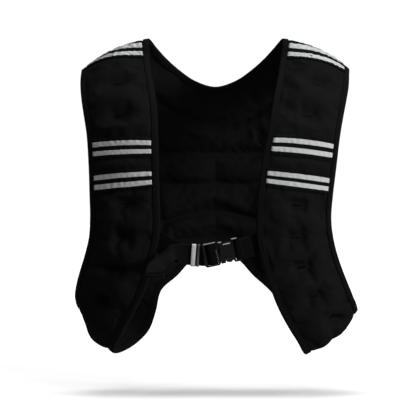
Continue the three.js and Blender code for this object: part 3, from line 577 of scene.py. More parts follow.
# %% Thickness of the filling
TACKS_RIGHT = [
    (2.6, 0.54), (4.25, 0.49), (7.53, 0.52), (9.03, 0.48), (10.5, 0.48), (12.1, 0.49), (13.9, 0.6),
]
TACKS_LEFT = [(2.7, 0.46), (4.3, 0.5), (7.55, 0.46), (9.0, 0.47), (10.6, 0.49), (12.4, 0.52)]
BANDS_RIGHT = [(0.10, 1.16), (5.14, 5.82), (6.28, 6.94)]
BANDS_LEFT = [(0.10, 1.16), (5.21, 5.86), (6.29, 6.97)]
TACK_HALF_LONG = 6.0
HALF_SEAM_GAP = 0.2
# Each stitch line is a parabola z = height + bend x squared, as far out as its reach.
STITCH_LINES = [
    (-91, 0.005, 100), (-132, 0.0003, 84), (-175, 0.0, 80), (-213, -0.0034, 72),
    (-250, -0.001, 60),
]


def tack_marks(side, tacks):
    """Five points along each short tack, which runs across the strip."""
    s, t = np.array(tacks).T
    steps = np.linspace(-1, 1, 5)[:, None] * TACK_HALF_LONG / side.width(s)
    return side.point(np.broadcast_to(s, steps.shape[:1] + s.shape), t + steps)


def filling(points, bound_lines, seam_lines, outer_full, inner_full):
    """Half thicknesses of the two faces: thin at bound edges and seams, full inside."""
    bound = near(points, bound_lines)
    seam = near(points, seam_lines)
    fill = smooth((bound - REACH) / PUFF_RUN) * smooth(seam / 22)
    thin = np.where(bound < REACH * 1.5, EDGE_HALF, SEAM_HALF)
    outer, inner = (thin + (full - thin) * fill for full in (outer_full, inner_full))
    return outer, inner, bound, seam, fill


def with_seam_gap(side, ss, tt):
    """The strip's points, with both end rows drawn back by half the gap of a seam."""
    middle = side.point(ss, tt)
    for row, pull in ((0, HALF_SEAM_GAP), (-1, -HALF_SEAM_GAP)):
        run = side.point(ss[row] + 0.3, tt[row]) - side.point(ss[row] - 0.3, tt[row])
        middle[row] += unit(run) * pull
    return middle


print("tacks:", len(TACKS_RIGHT) + len(TACKS_LEFT), "stitch lines:", len(STITCH_LINES))

# %% [markdown]
# Puckers round a tack come from cloth that is a little too long for its filling. They could be
# carved one by one, but the simulation finds them all: pressure, no gravity, the cloth held at
# edges, seams and stitches, and a little spare length. A cap keeps it near the plain form.


# %% Inflating a shell with the cloth simulation
SIM_FRAMES = 20


def inflate(piece, held, pressure, spare, cap):
    """Runs the simulation and keeps its last frame. A move is cap times the hyperbolic tangent
    of its share of the cap, so no vertex moves further than cap mm."""
    names = piece.vertex_groups.new(name="held")
    for weight in np.unique(held.round(1)):
        if weight > 0:
            names.add(np.flatnonzero(held.round(1) == weight).tolist(), float(weight), "REPLACE")
    cloth = piece.modifiers.new("inflate", "CLOTH")
    settings = cloth.settings
    settings.quality = 5
    settings.mass = 0.3
    settings.tension_stiffness = 12
    settings.compression_stiffness = 10
    settings.shear_stiffness = 4
    settings.bending_stiffness = 0.15
    settings.use_pressure = True
    settings.uniform_pressure_force = pressure
    settings.vertex_group_mass = "held"
    settings.pin_stiffness = 1
    settings.shrink_min = -spare
    settings.effector_weights.gravity = 0
    cloth.collision_settings.use_collision = False
    scene = bpy.context.scene
    for number in range(1, SIM_FRAMES + 1):
        scene.frame_set(number)
    baked = piece.evaluated_get(bpy.context.evaluated_depsgraph_get()).data
    after = np.empty(len(piece.data.vertices) * 3)
    baked.vertices.foreach_get("co", after)
    before = np.empty_like(after)
    piece.data.vertices.foreach_get("co", before)
    move = (after - before).reshape(-1, 3)
    size = np.linalg.norm(move, axis=1, keepdims=True)
    limit = cap * MM
    move *= np.minimum(1, limit * np.tanh(size / limit) / np.maximum(size, 1e-9))
    piece.modifiers.remove(cloth)
    piece.data.vertices.foreach_set("co", (before.reshape(-1, 3) + move).ravel())
    piece.data.update()
    scene.frame_set(1)
    print(piece.name, "moved at most", round(float(size.max()) / MM, 1), "mm, mean",
          round(float(size.mean()) / MM, 2))
    return before.reshape(-1, 3) + move


def refine(piece):
    """One subdivision smooths the facets that the simulation leaves."""
    smoother = piece.modifiers.new("smooth cloth", "SUBSURF")
    smoother.levels = 1
    smoother.render_levels = 1


print("frames of the simulation:", SIM_FRAMES)

# %% [markdown]
# Each front strip is one long pad over the shoulder, down the chest and round under the arm.
# It could be a smooth pad with painted dents, but its bulges show in the outline, so the folds
# are in the mesh. Ribbons press it flat and tacks draw it in, deeply near and a little far.


# %% The two front strips
TACK_DRAW = [(8.0, 5.5), (4.5, 15.0)]
RIBBON_DRAW = 4.5
FRONT_FULL = (9.0, 4.5)


def front_strip(name, side, tacks, bands, rows=150, cols=27):
    """A strip from the shoulder seam to the side seam. Each draw of a tack is its depth times
    a bell: e to the minus square of distance over reach."""
    s = np.linspace(0, SIDE_SEAM, rows)
    t = np.linspace(0, 1, cols)
    ss, tt = np.meshgrid(s, t, indexing="ij")
    middle = with_seam_gap(side, ss, tt)
    points = middle.reshape(-1, 3)
    at = np.linspace(0, SIDE_SEAM, 260)
    edges = np.concatenate([side.inner_at(at), side.outer_at(at)])
    ends = np.concatenate([middle[0], middle[-1]])
    outer, inner, bound, seam, fill = filling(points, edges, ends, *FRONT_FULL)
    tack_points = tack_marks(side, tacks).reshape(-1, 3)
    to_tack = near(points, tack_points)
    draw = sum(depth * np.exp(-(to_tack / reach) ** 2) for depth, reach in TACK_DRAW)
    flat_s = ss.ravel()
    for a, b in bands:
        draw = np.maximum(draw, RIBBON_DRAW * smooth(1.5 - np.abs(flat_s - (a + b) / 2) * 1.7))
    ripple = 0.5 * np.sin(flat_s * 5.1 + 3 * tt.ravel()) * fill
    ripple = ripple + 0.4 * np.sin(flat_s * 2.3 + side.sign) * fill
    outer = np.maximum(outer - draw * fill + ripple, EDGE_HALF)
    inner = np.maximum(inner - 0.4 * draw * fill, EDGE_HALF)
    n = side.normal(ss, tt).reshape(-1, 3)
    shell = np.concatenate([points + n * outer[:, None], points - n * inner[:, None]])
    quads = grid_quads(rows, cols, flip=side.sign < 0)
    length = run_length(middle[:, cols // 2])
    width = np.linalg.norm(middle[:, -1] - middle[:, 0], axis=1)
    uv = np.stack([(tt * width[:, None]).ravel(), np.repeat(length, cols)], 1)
    faces = shell_faces(quads, len(points))
    piece = build_mesh(name, shell, faces, np.concatenate([uv, uv + 500]), KNIT)
    held = np.where((bound < REACH + 1) | (seam < 1.5) | (to_tack < 3.0), 1.0, 0.0)
    for a, b in bands:
        held = np.where((flat_s > a - 0.02) & (flat_s < b + 0.02), np.maximum(held, 0.8), held)
    both = np.concatenate([held, held])
    shell = inflate(piece, both, pressure=6.0, spare=0.07, cap=5.5) / MM
    refine(piece)
    face = shell[:len(points)].reshape(rows, cols, 3)
    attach(piece, "root")
    return {"piece": piece, "face": face, "side": side, "s": s, "cols": cols, "tacks": tacks}


front_right = front_strip("cloth_front_right", right, TACKS_RIGHT, BANDS_RIGHT)
front_left = front_strip("cloth_front_left", left, TACKS_LEFT, BANDS_LEFT)
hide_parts("front_panel_right")
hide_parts("front_panel_left")
print("front strips:", front_right["piece"].name, front_left["piece"].name)

# %% [markdown]
# The back is one piece of cloth: two mirrored halves that share the vertices of the middle
# line. Horizontal stitch lines divide it into channels, and the filling bulges between them.
# Separate rolls would be simpler, but they would leave gaps at the stitches, so one skin is
# drawn in along each line.


# %% The back panel
BACK_FULL = (8.0, 4.5)
CHANNEL_HALF = 19
CHANNEL_DRAW = 5.5
CHANNEL_PUFF = 8.5
YOKE_PUFF = 2.5


def back_cloth(cols=33):
    """The whole back. A channel's height is one minus the square of one minus the share of the
    way from a stitch line to the channel's middle."""
    s = np.concatenate([
        np.linspace(SIDE_SEAM, HEM_MIDDLE, 35)[:-1],
        np.linspace(HEM_MIDDLE, NECK_MIDDLE, 53),
        np.linspace(NECK_MIDDLE, ROWS, 35)[1:],
    ])
    rows = len(s)
    t = np.linspace(0, 1, cols)
    ss, tt = np.meshgrid(s, t, indexing="ij")
    on_line = (s >= HEM_MIDDLE) & (s <= NECK_MIDDLE)
    halves = []
    for side in (right, left):
        middle = with_seam_gap(side, ss, tt)
        normal = side.normal(ss, tt)
        middle[on_line, 0, 0] = 0
        normal[on_line, 0, 0] = 0
        halves.append((middle, unit(normal), side))
    count = rows * cols
    ids = np.arange(2 * count).reshape(2, rows, cols)
    ids[1, on_line, 0] = ids[0, on_line, 0]
    used, compact = np.unique(ids, return_inverse=True)
    compact = compact.reshape(2, rows, cols)
    points = np.concatenate([h[0].reshape(-1, 3) for h in halves])[used]
    normals = np.concatenate([h[1].reshape(-1, 3) for h in halves])[used]
    base = grid_quads(rows, cols)
    quads = np.concatenate([compact[0].ravel()[base], compact[1].ravel()[base][:, ::-1]])
    edges = []
    ends = []
    for middle, _, side in halves:
        hem, neck = np.linspace(SIDE_SEAM, HEM_MIDDLE, 90), np.linspace(NECK_MIDDLE, ROWS, 90)
        hem = np.concatenate([hem, neck])
        edges += [side.inner_at(hem), side.outer_at(np.linspace(SIDE_SEAM, ROWS, 240))]
        ends += [middle[0], middle[-1]]
    edges, ends = np.concatenate(edges), np.concatenate(ends)
    outer, inner, bound, seam, fill = filling(points, edges, ends, *BACK_FULL)
    x, z = points[:, 0], points[:, 2]
    to_line = np.full(len(points), 1e3)
    for height, bend, reach in STITCH_LINES:
        away = np.abs(z - height - bend * x * x)
        within = 1 - smooth((np.abs(x) - reach) / 14)
        to_line = np.minimum(to_line, away + 40 * (1 - within))
    low = smooth((-84 + 0.005 * x * x - z) / 12)
    inside = 1 - smooth((np.abs(x) - np.interp(-z, [90, 250], [92, 66])) / 16)
    tube = 1 - (1 - np.clip(to_line / CHANNEL_HALF, 0, 1)) ** 2
    rim = np.exp(-((np.abs(x) - np.interp(-z, [90, 250], [100, 74])) / 7.0) ** 2) * low
    outer = np.maximum(outer - CHANNEL_DRAW * (1 - tube) * fill - 1.5 * rim * fill, EDGE_HALF)
    puff = (YOKE_PUFF * (1 - low) + CHANNEL_PUFF * low * inside) * tube
    inner = np.maximum(inner * (0.1 + 0.9 * tube) + puff * fill - 4.0 * rim * fill, EDGE_HALF * 0.5)
    shell = np.concatenate([points + normals * outer[:, None], points - normals * inner[:, None]])
    uv = np.stack([x, z], 1)
    faces = shell_faces(quads, len(points))
    piece = build_mesh("cloth_back", shell, faces, np.concatenate([uv, uv + 500]), KNIT)
    stitched = (to_line < 2.0) & (bound > REACH)
    held = np.where((bound < REACH + 1) | (seam < 1.5) | stitched, 1.0, 0.0)
    inflate(piece, np.concatenate([held, held]), pressure=5.5, spare=0.05, cap=4.5)
    refine(piece)
    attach(piece, "root")
    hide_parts("back_panel")
    return piece


back = back_cloth()
print("back panel:", back.name, "vertices:", len(back.data.vertices))

# %% [markdown]
# Binding. A tape is folded over every raw edge and sewn down. Its section is a U: across one
# face, round the edge and back across the other. The section is carried along the edge, from
# the edge's own direction, the strip's normal and the way into the strip. A round bead would
# be simpler, but it would show neither the tape's two faces nor the ridge of its sewn edge.


# %% Folded tape round the edges
TAPE_THICK = 1.1
TAPE_GAP = 0.45
RINGS_PER_ROW = 6


def frames_along(side, s, outer_edge):
    """Edge points, strip normals and the unit direction out of the strip, for rows s."""
    t = np.full_like(s, 1.0 if outer_edge else 0.0)
    into = -1.0 if outer_edge else 1.0
    edge = side.outer_at(s) if outer_edge else side.inner_at(s)
    normal = side.normal(s, t)
    inner_point = side.point(s, t + into * REACH / side.width(s))
    run = unit(np.gradient(edge, axis=0))
    out = unit(edge - inner_point)
    out = unit(out - run * (out * run).sum(-1, keepdims=True))
    normal = unit(normal - run * (normal * run).sum(-1, keepdims=True))
    out = unit(out - normal * (out * normal).sum(-1, keepdims=True))
    return edge, normal, out


def tape_section():
    """The U as (away from the edge, off the strip) pairs, outside line then inside line."""
    h = EDGE_HALF + TAPE_GAP
    turn = np.linspace(np.pi / 2, -np.pi / 2, 9)
    bulge = TAPE_THICK + TAPE_GAP + 0.6
    rim = np.stack([-0.4 + np.cos(turn) * bulge, np.sin(turn) * (h + TAPE_THICK)], 1)
    top = np.array([
        [-REACH, h + 0.35 * TAPE_THICK], [-REACH + 0.3, h + 0.9 * TAPE_THICK],
        [-REACH + 1.2, h + TAPE_THICK], [-REACH + 2.0, h + 0.8 * TAPE_THICK],
        [-REACH + 3.2, h + TAPE_THICK * 1.05], [-2.2, h + TAPE_THICK],
    ])
    low = top[::-1] * [1, -1]
    inside = np.array([
        [-REACH + 0.1, -h], [TAPE_GAP - 0.2, -h * 0.8],
        [TAPE_GAP - 0.2, h * 0.8], [-REACH + 0.1, h],
    ])
    return np.concatenate([top, rim, low, inside])


def tape_round(name, parts, node):
    """Carries the section along a closed chain of edge parts."""
    edge, normal, out = (np.concatenate([p[k] for p in parts]) for k in range(3))
    section = tape_section()
    count = len(section)
    a = section[None, :, :1]
    b = section[None, :, 1:]
    points = edge[:, None] + out[:, None] * a + normal[:, None] * b
    n = len(edge)
    length, girth = run_length(edge), run_length(section)
    uv = np.stack([np.tile(girth, n), np.repeat(length, count)], 1)
    piece = build_mesh(name, points.reshape(-1, 3), tube_quads(n, count, True), uv, TAPE)
    turn_outward(piece)
    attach(piece, "root")
    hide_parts(node)
    print(name, "length in mm:", round(float(length[-1])))
    return piece


def turn_outward(piece):
    """Turns all faces over when the closed mesh's signed volume is negative."""
    mesh = piece.data
    mesh.calc_loop_triangles()
    tris = np.empty(len(mesh.loop_triangles) * 3, np.int32)
    mesh.loop_triangles.foreach_get("vertices", tris)
    co = np.empty(len(mesh.vertices) * 3)
    mesh.vertices.foreach_get("co", co)
    a, b, c = np.moveaxis(co.reshape(-1, 3)[tris.reshape(-1, 3)], 1, 0)
    if (a * np.cross(b, c)).sum() < 0:
        mesh.flip_normals()


def part(side, a, b, outer_edge, skip=0.0):
    """The frames along one edge from row a to row b, drawn back by skip at both ends."""
    count = int(abs(b - a) * RINGS_PER_ROW)
    return frames_along(side, np.linspace(a + skip, b - skip, count), outer_edge)


def reversed_part(values):
    """The same edge run through backwards."""
    return [v[::-1] for v in values]


edge_parts = [
    part(right, 0, HEM_MIDDLE, False, 0.02),
    reversed_part(part(left, 0, HEM_MIDDLE, False, 0.02)),
    reversed_part(part(left, NECK_MIDDLE, ROWS, False, 0.02)),
    part(right, NECK_MIDDLE, ROWS, False, 0.02),
]
armholes = {
    hand: [part(side, 0, ROWS - 0.15, True)] for hand, side in (("right", right), ("left", left))
}
tape_round("tape_neck_front_hem", edge_parts, "edge_binding")
for hand, parts in armholes.items():
    tape_round(f"tape_armhole_{hand}", parts, f"armhole_binding_{hand}")

# %% [markdown]
# Ribbons with two silver stripes cross each front strip. They follow the inflated face: each
# of their points is read from the grid of the face and lifted off it. They could be painted on
# the cloth, but real bands have an edge that catches the light.

# %% Ribbons and reflective stripes
RIBBON_THICK = 0.8
SHOULDER_SLANT = {1: 0.2, -1: 0.45}
STRIPE_THICK = 0.4
LIFT = 0.5
RIBBONS_RIGHT = [
    ("shoulder", 0.10, 1.16, 0.28, 0.52, 0.72, 0.97),
    ("upper_chest", 5.14, 5.82, 5.25, 5.40, 5.54, 5.69),
    ("lower_chest", 6.28, 6.94, 6.39, 6.54, 6.66, 6.81),
]
RIBBONS_LEFT = [
    ("shoulder", 0.10, 1.16, 0.28, 0.52, 0.72, 0.97),
    ("upper_chest", 5.21, 5.86, 5.32, 5.47, 5.61, 5.75),
    ("lower_chest", 6.29, 6.97, 6.40, 6.55, 6.70, 6.86),
]


def strip_on_face(name, front, a, b, lift, thick, material, margin, slant=0.0):
    """A thin band on a strip's face between rows a and b, from binding to binding."""
    side = front["side"]
    rows, cols = 9, 41
    ss = np.linspace(a, b, rows)
    first = (REACH + margin) / side.width(ss)
    tt = first[:, None] + (1 - 2 * first[:, None]) * np.linspace(0, 1, cols)
    sg = np.maximum(ss[:, None] - slant * tt, 0.02 + 0.1 * (ss[:, None] - a))
    row_index = np.interp(sg, front["s"], np.arange(len(front["s"])))
    col_index = tt * (front["cols"] - 1)
    on_face = sampled(front["face"], row_index, col_index)
    normal = side.normal(sg, tt)
    low = on_face + normal * lift
    high = low + normal * thick
    quads = grid_quads(rows, cols, flip=side.sign < 0)
    u, v = np.linspace(0, 84, cols), np.linspace(0, 25 * (b - a), rows)
    uv = np.stack([np.tile(u, rows), np.repeat(v, cols)], 1)
    points = np.concatenate([high.reshape(-1, 3), low.reshape(-1, 3)])
    faces = shell_faces(quads, rows * cols)
    piece = build_mesh(name, points, faces, np.concatenate([uv, uv]), material)
    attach(piece, "root")
    return piece


bands = []
for hand, front, table in (
    ("right", front_right, RIBBONS_RIGHT), ("left", front_left, RIBBONS_LEFT),
):
    for place, a, b, u0, u1, w0, w1 in table:
        slant = SHOULDER_SLANT[front["side"].sign] if place == "shoulder" else 0.0
        ribbon = strip_on_face(f"ribbon_{place}_{hand}", front, a, b, LIFT, RIBBON_THICK, RIBBON,
                               0.2, slant)
        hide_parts(f"{place}_ribbon_{hand}")
        bands.append(ribbon)
        for label, c, d in (("upper", u0, u1), ("lower", w0, w1)):
            stripe = strip_on_face(f"film_{place}_{label}_{hand}", front, c, d,
                                   LIFT + RIBBON_THICK, STRIPE_THICK, FILM, 0.4, slant)
            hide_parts(f"{place}_stripe_{label}_{hand}")
            bands.append(stripe)
print("ribbons and stripes:", len(bands))

# %% [markdown]
# The belt. Each webbing is one band: from its sewn end behind a front strip, through the
# keeper, round a bar of the buckle and back. Its centre line is drawn in the buckle's own
# frame, u along the belt, d towards the back and v up, and its flat section follows that line.
# It could be bent by a simulation, but the buckle and the keeper fix its course, so it is drawn.

# %% The belt's frame and its two webbings
WEB_WIDTH = 26.2
WEB = 1.5
BELT_CENTRE = np.array([0.0415 * HALF_WIDTH, -1.18 * HALF_DEPTH, -0.6335 * LENGTH])
BUCKLE_TILT = 0.206
RUN_TILT = -0.07
BELT_U = np.array([np.cos(BUCKLE_TILT), 0, np.sin(BUCKLE_TILT)])
BELT_V = np.array([-np.sin(BUCKLE_TILT), 0, np.cos(BUCKLE_TILT)])
BELT_D = np.array([0, 1.0, 0])
RUN_U = np.array([np.cos(RUN_TILT), 0, np.sin(RUN_TILT)])
RUN_V = np.array([-np.sin(RUN_TILT), 0, np.cos(RUN_TILT)])


def belt(u, d, v=0.0):
    """A place in the buckle's own frame."""
    return BELT_CENTRE + BELT_U * u + BELT_D * d + BELT_V * v


def run_place(u, d, v=0.0):
    """A place in the frame of the webbing that runs from the keeper to the front strip."""
    return belt(-22, 0) + RUN_U * u + BELT_D * d + RUN_V * v


def turned(f):
    """The width direction a share f of the way from the buckle's frame to the run's."""
    return unit(BELT_V * (1 - f) + RUN_V * f)


def seated(side, s, into):
    """A webbing centre and its width direction behind the inner edge of a front strip."""
    s = np.array([s])
    t = into / side.width(s)
    behind = WEB / 2 + EDGE_HALF + TAPE_GAP + TAPE_THICK + 2.7
    c = side.point(s, t) - side.normal(s, t) * behind
    return c[0], unit(side.point(s - 0.3, t) - side.point(s + 0.3, t))[0]


def left_rows():
    """Centre, width direction and thickness from the sewn end to the hem of the free tail."""
    rows = []
    for into in (20, 12, 3):
        c, w = seated(left, 9.2, into)
        rows.append((c + [0, 0, into * 0.3 - 1], w, WEB))
    last = rows[-1][0]
    for f in (0.35, 0.7):
        c = last * (1 - f) + run_place(-28, 4.2) * f
        rows.append((c - [0, 0, 1.5 * np.sin(np.pi * f)], RUN_V, WEB))
    rows += [(run_place(u, 4.2), RUN_V, WEB) for u in (-28, -22, -6)]
    rows.append((run_place(-1.5, 4.2), turned(0.6), WEB))
    for u, d in [(-18.5, 4.3), (-12.9, 4.3), (-9.2, 3.6), (-7.6, 2.0), (-7.3, -0.6), (-7.9, -2.7),
                 (-10.0, -3.5), (-14.6, -3.5), (-16.4, -2.6), (-17.3, -0.8), (-18.2, 0.9)]:
        rows.append((belt(u, d), BELT_V, WEB))
    rows += [(belt(-20.2, 2), turned(0.3), WEB), (run_place(-1.8, 2.1), turned(0.65), WEB)]
    rows += [(run_place(u, 2.1), RUN_V, WEB) for u in (-6.5, -20.5, -23)]
    tail = [
        [-0.246, -1.170, -0.610, -0.256, -1.245, -0.663],
        [-0.293, -1.185, -0.617, -0.299, -1.350, -0.655],
        [-0.342, -1.215, -0.630, -0.336, -1.410, -0.666],
        [-0.404, -1.270, -0.647, -0.358, -1.450, -0.681],
        [-0.458, -1.350, -0.667, -0.372, -1.500, -0.693],
        [-0.484, -1.455, -0.693, -0.356, -1.510, -0.706],
        [-0.488, -1.470, -0.701, -0.354, -1.525, -0.716],
    ]
    scale = np.array([HALF_WIDTH, HALF_DEPTH, LENGTH])
    for i, row in enumerate(tail):
        top, low = np.array(row[:3]) * scale, np.array(row[3:]) * scale
        rows.append(((top + low) / 2, unit(top - low), WEB * (2.2 if i > 4 else 1)))
    return rows


def right_rows():
    """Centre, width direction and thickness from the sewn end round the buckle's bar."""
    rows = []
    for into in (20, 12, 3):
        c, w = seated(right, 9.15, into)
        rows.append((c + [0, 0, 1.5 + into * 0.1], w, WEB))
    rows.append(((rows[-1][0] + belt(29, 5)) / 2, BELT_V, WEB))
    for u, d in [(29, 3.6), (24.5, 3.8), (22.4, 3.8), (19.6, 3.3), (18.1, 1.7), (17.7, -0.4),
                 (18.5, -2.4), (20.4, -3.3), (24.6, -3.3), (28.5, -1.8), (31.5, 0.6), (35, 1.2), (41, 1.6)]:
        rows.append((belt(u, d), BELT_V, WEB))
    return rows


def webbing(name, rows, node, step=2.2):
    """Carries a flat section with round edges along the smooth centre line."""
    centre, width, thick = (np.array([r[k] for r in rows]) for k in range(3))
    gaps = np.linalg.norm(np.diff(centre, axis=0), axis=1)
    at = np.concatenate([
        i + np.arange(n) / n for i, n in enumerate(np.maximum(2, np.ceil(gaps / step)).astype(int))
    ] + [[len(rows) - 1]])
    c = curve_through(centre, at)
    w = unit(curve_through(width, at))
    h = np.interp(at, np.arange(len(rows)), thick)
    tangent = unit(np.gradient(c, axis=0))
    face = unit(np.cross(tangent, w))
    wide = unit(np.cross(face, tangent))
    flat = WEB_WIDTH / 2 - 0.5
    across = np.linspace(-1, 1, 13) * flat
    turn = np.linspace(-np.pi / 2, np.pi / 2, 5)[1:-1]
    ring = np.concatenate([
        np.stack([across, np.full(13, 0.5)], 1),
        np.stack([flat + 0.5 * np.cos(turn[::-1]), 0.5 * np.sin(turn[::-1])], 1),
        np.stack([across[::-1], np.full(13, -0.5)], 1),
        np.stack([-flat - 0.5 * np.cos(turn), 0.5 * np.sin(turn)], 1),
    ])
    count = len(ring)
    lift = h[:, None, None] * ring[None, :, 1:]
    points = c[:, None] + wide[:, None] * ring[None, :, :1] + face[:, None] * lift
    n = len(c)
    first = np.arange(count)
    caps = [first.tolist(), (first + (n - 1) * count)[::-1].tolist()]
    length = run_length(c)
    uv = np.stack([np.tile(ring[:, 0], n), np.repeat(length, count)], 1)
    quads = tube_quads(n, count, False)
    piece = build_mesh(name, points.reshape(-1, 3), quads, uv, WEBBING, caps)
    turn_outward(piece)
    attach(piece, "root")
    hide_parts(node)
    print(name, "length in mm:", round(float(length[-1])))
    return {"centre": c, "wide": wide, "face": face, "at": at, "half": h / 2}


web_left = webbing("webbing_left", left_rows(), "belt_webbing_left")
web_right = webbing("webbing_right", right_rows(), "belt_webbing_right")

# %% [markdown]
# The keeper is a loop of elastic ribbon that holds the doubled webbing together. It has a wide
# and a narrow silver stripe round it. It is a band bent round a rectangle with round corners.
# The stripes could be colour alone, but they stand a little proud, so each is its own band.


# %% The keeper loop
KEEPER_DEPTH = 3.2


def loop_band(name, u0, u1, half_d, half_v, thick, material, node):
    """A band between u0 and u1 round a rounded rectangle in the plane of d and v."""
    corner = min(half_d, 2.2)
    turns = np.linspace(0, np.pi / 2, 6)
    path = np.concatenate([
        np.stack([sd * (half_d - corner) + corner * np.cos(turns + base),
                  sv * (half_v - corner) + corner * np.sin(turns + base)], 1)
        for base, sd, sv in ((0, 1, 1), (np.pi / 2, -1, 1), (np.pi, -1, -1), (1.5 * np.pi, 1, -1))
    ])
    out = np.concatenate([
        np.stack([np.cos(turns + b), np.sin(turns + b)], 1) for b in np.arange(4) * np.pi / 2
    ])
    u = np.array([u0, u0 + 0.3, (u0 + u1) / 2, u1 - 0.3, u1])
    grow = np.array([0.6, 1.0, 1.0, 1.0, 0.6])
    ring_u = np.concatenate([u, u[::-1]])
    ring_h = np.concatenate([grow * thick, np.zeros(5)])
    n, count = len(path), 10
    d = KEEPER_DEPTH + path[:, :1] + out[:, :1] * ring_h
    v = path[:, 1:] + out[:, 1:] * ring_h
    u = np.broadcast_to(ring_u, d.shape)
    points = belt(-22, 0) + RUN_U * u[..., None] + BELT_D * d[..., None] + RUN_V * v[..., None]
    girth = run_length(path)
    uv = np.stack([np.repeat(girth, count), np.tile(ring_u, n)], 1)
    quads = tube_quads(n, count, True)
    piece = build_mesh(name, points.reshape(-1, 3), quads, uv, material)
    turn_outward(piece)
    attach(piece, "root")
    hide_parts(node)
    return piece


keeper = [
    loop_band("keeper_loop", -18.4, -7.1, 2.35, 13.2, 0.9, RIBBON, "belt_keeper"),
    loop_band("keeper_stripe_wide", -17.8, -12.3, 3.45, 14.3, 0.35, FILM,
              "belt_keeper_stripe_wide"),
    # The narrow stripe wears the darker copy of the film: painted shade.
    loop_band("keeper_stripe_narrow", -10.2, -7.5, 3.45, 14.3, 0.35, FILM_PAINTED_SHADE,
              "belt_keeper_stripe_narrow"),
]
print("keeper pieces:", [piece.name for piece in keeper])

# %% [markdown]
# Thread. A stitch is a short bent bar of thread with its ends sunk into the cloth. Rows of
# them hold the bindings and the ribbons. Close side by side they make the bar tacks that draw
# the filling together, and those that hold the webbing. A painted pattern would be lighter,
# but close up only real bars stand off the cloth.


# %% Stitches
def stitches(name, centres, along, up, length, radius):
    """One mesh of many stitches, each four diamond rings joined by quads."""
    n = len(centres)
    along, up = unit(along), unit(up)
    side = np.cross(along, up)
    reach = np.array([-0.5, -0.3, 0.3, 0.5]) * length
    rise = np.array([-1.0, 0.3, 0.3, -1.0]) * radius
    fat = np.array([0.7, 1.0, 1.0, 0.7]) * radius
    phi = np.arange(4) * np.pi / 2
    points = (
        centres[:, None, None] + along[:, None, None] * reach[None, :, None, None]
        + up[:, None, None] * (rise[:, None] + fat[:, None] * np.cos(phi))[None, ..., None]
        + side[:, None, None] * (fat[:, None] * np.sin(phi))[None, ..., None]
    )
    i, j = np.meshgrid(np.arange(3), np.arange(4), indexing="ij")
    i, j = i.ravel(), j.ravel()
    one = np.stack([i * 4 + j, (i + 1) * 4 + j, (i + 1) * 4 + (j + 1) % 4, i * 4 + (j + 1) % 4], 1)
    one = np.concatenate([one, [[0, 1, 2, 3], [15, 14, 13, 12]]])
    quads = (one[None] + 16 * np.arange(n)[:, None, None]).reshape(-1, 4)
    uv = np.tile(np.stack([np.tile(phi, 4), np.repeat(reach, 4)], 1), (n, 1))
    piece = build_mesh(name, points.reshape(-1, 3), quads, uv, THREAD)
    turn_outward(piece)
    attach(piece, "root")
    return piece


def every(points, spacing):
    """Float indices along a line of points, a given spacing apart."""
    run = run_length(points)
    return np.interp(np.arange(spacing, run[-1] - spacing, spacing), run, np.arange(len(points)))


def read_line(values, at):
    """Straight-line reading of a list of vectors at float indices."""
    i = np.clip(np.floor(at).astype(int), 0, len(values) - 2)
    f = (at - i)[:, None]
    return values[i] * (1 - f) + values[i + 1] * f


def tape_stitches(name, parts):
    """A row of stitches on both faces of a tape, 2 mm inside its sewn edge."""
    edge, normal, out = (np.concatenate([p[k] for p in parts]) for k in range(3))
    h = EDGE_HALF + TAPE_GAP + TAPE_THICK * 0.92
    pieces = []
    for sign in (1, -1):
        line = edge - out * (REACH - 2.0) + sign * normal * h
        at = every(line, 3.3)
        along = read_line(unit(np.gradient(line, axis=0)), at)
        pieces.append((read_line(line, at), along, sign * read_line(normal, at)))
    c, a, u = (np.concatenate([p[k] for p in pieces]) for k in range(3))
    return stitches(name, c, a, u, 2.5, 0.24)


thread_pieces = [
    tape_stitches("thread_neck_front_hem", edge_parts),
    tape_stitches("thread_armhole_right", armholes["right"]),
    tape_stitches("thread_armhole_left", armholes["left"]),
]


def face_line(front, s, t):
    """Points, normals and two directions on a strip's inflated face."""
    side = front["side"]
    rows = np.interp(s, front["s"], np.arange(len(front["s"])))
    cols = t * (front["cols"] - 1)
    p = sampled(front["face"], rows, cols)
    across = unit(side.outer_at(s) - side.inner_at(s))
    up = side.normal(s, t)
    return p, up, across, unit(np.cross(up, across))


def tack_threads(name, front):
    """Bar tacks: sixteen short threads side by side over each tack, 11 mm long in all."""
    side = front["side"]
    c, a, u = [], [], []
    for s0, t0 in front["tacks"]:
        s = np.full(16, s0)
        t = t0 + np.linspace(-5.5, 5.5, 16) / side.width(s)
        p, up, across, along = face_line(front, s, t)
        c.append(p + up * 0.35)
        a.append(along + across * 0.25)
        u.append(up)
    return stitches(name, np.concatenate(c), np.concatenate(a), np.concatenate(u), 2.4, 0.3)


def ribbon_threads(name, front, table):
    """A row of stitches along both long edges of every ribbon."""
    side = front["side"]
    c, a, u = [], [], []
    for place, s0, s1, *_ in table:
        for edge in (s0 + 0.035, s1 - 0.035):
            width = float(side.width(np.array([edge]))[0])
            count = int((width - 2 * REACH) / 3.0)
            t = np.linspace(REACH + 1.5, width - REACH - 1.5, count) / width
            slant = SHOULDER_SLANT[side.sign] if place == "shoulder" else 0.0
            p, up, across, _ = face_line(front, np.maximum(edge - slant * t, 0.05), t)
            c.append(p + up * (LIFT + RIBBON_THICK + 0.05))
            a.append(across)
            u.append(up)
    return stitches(name, np.concatenate(c), np.concatenate(a), np.concatenate(u), 2.2, 0.22)


thread_pieces += [
    tack_threads("thread_tacks_right", front_right), tack_threads("thread_tacks_left", front_left),
    ribbon_threads("thread_ribbons_right", front_right, RIBBONS_RIGHT),
    ribbon_threads("thread_ribbons_left", front_left, RIBBONS_LEFT),
]


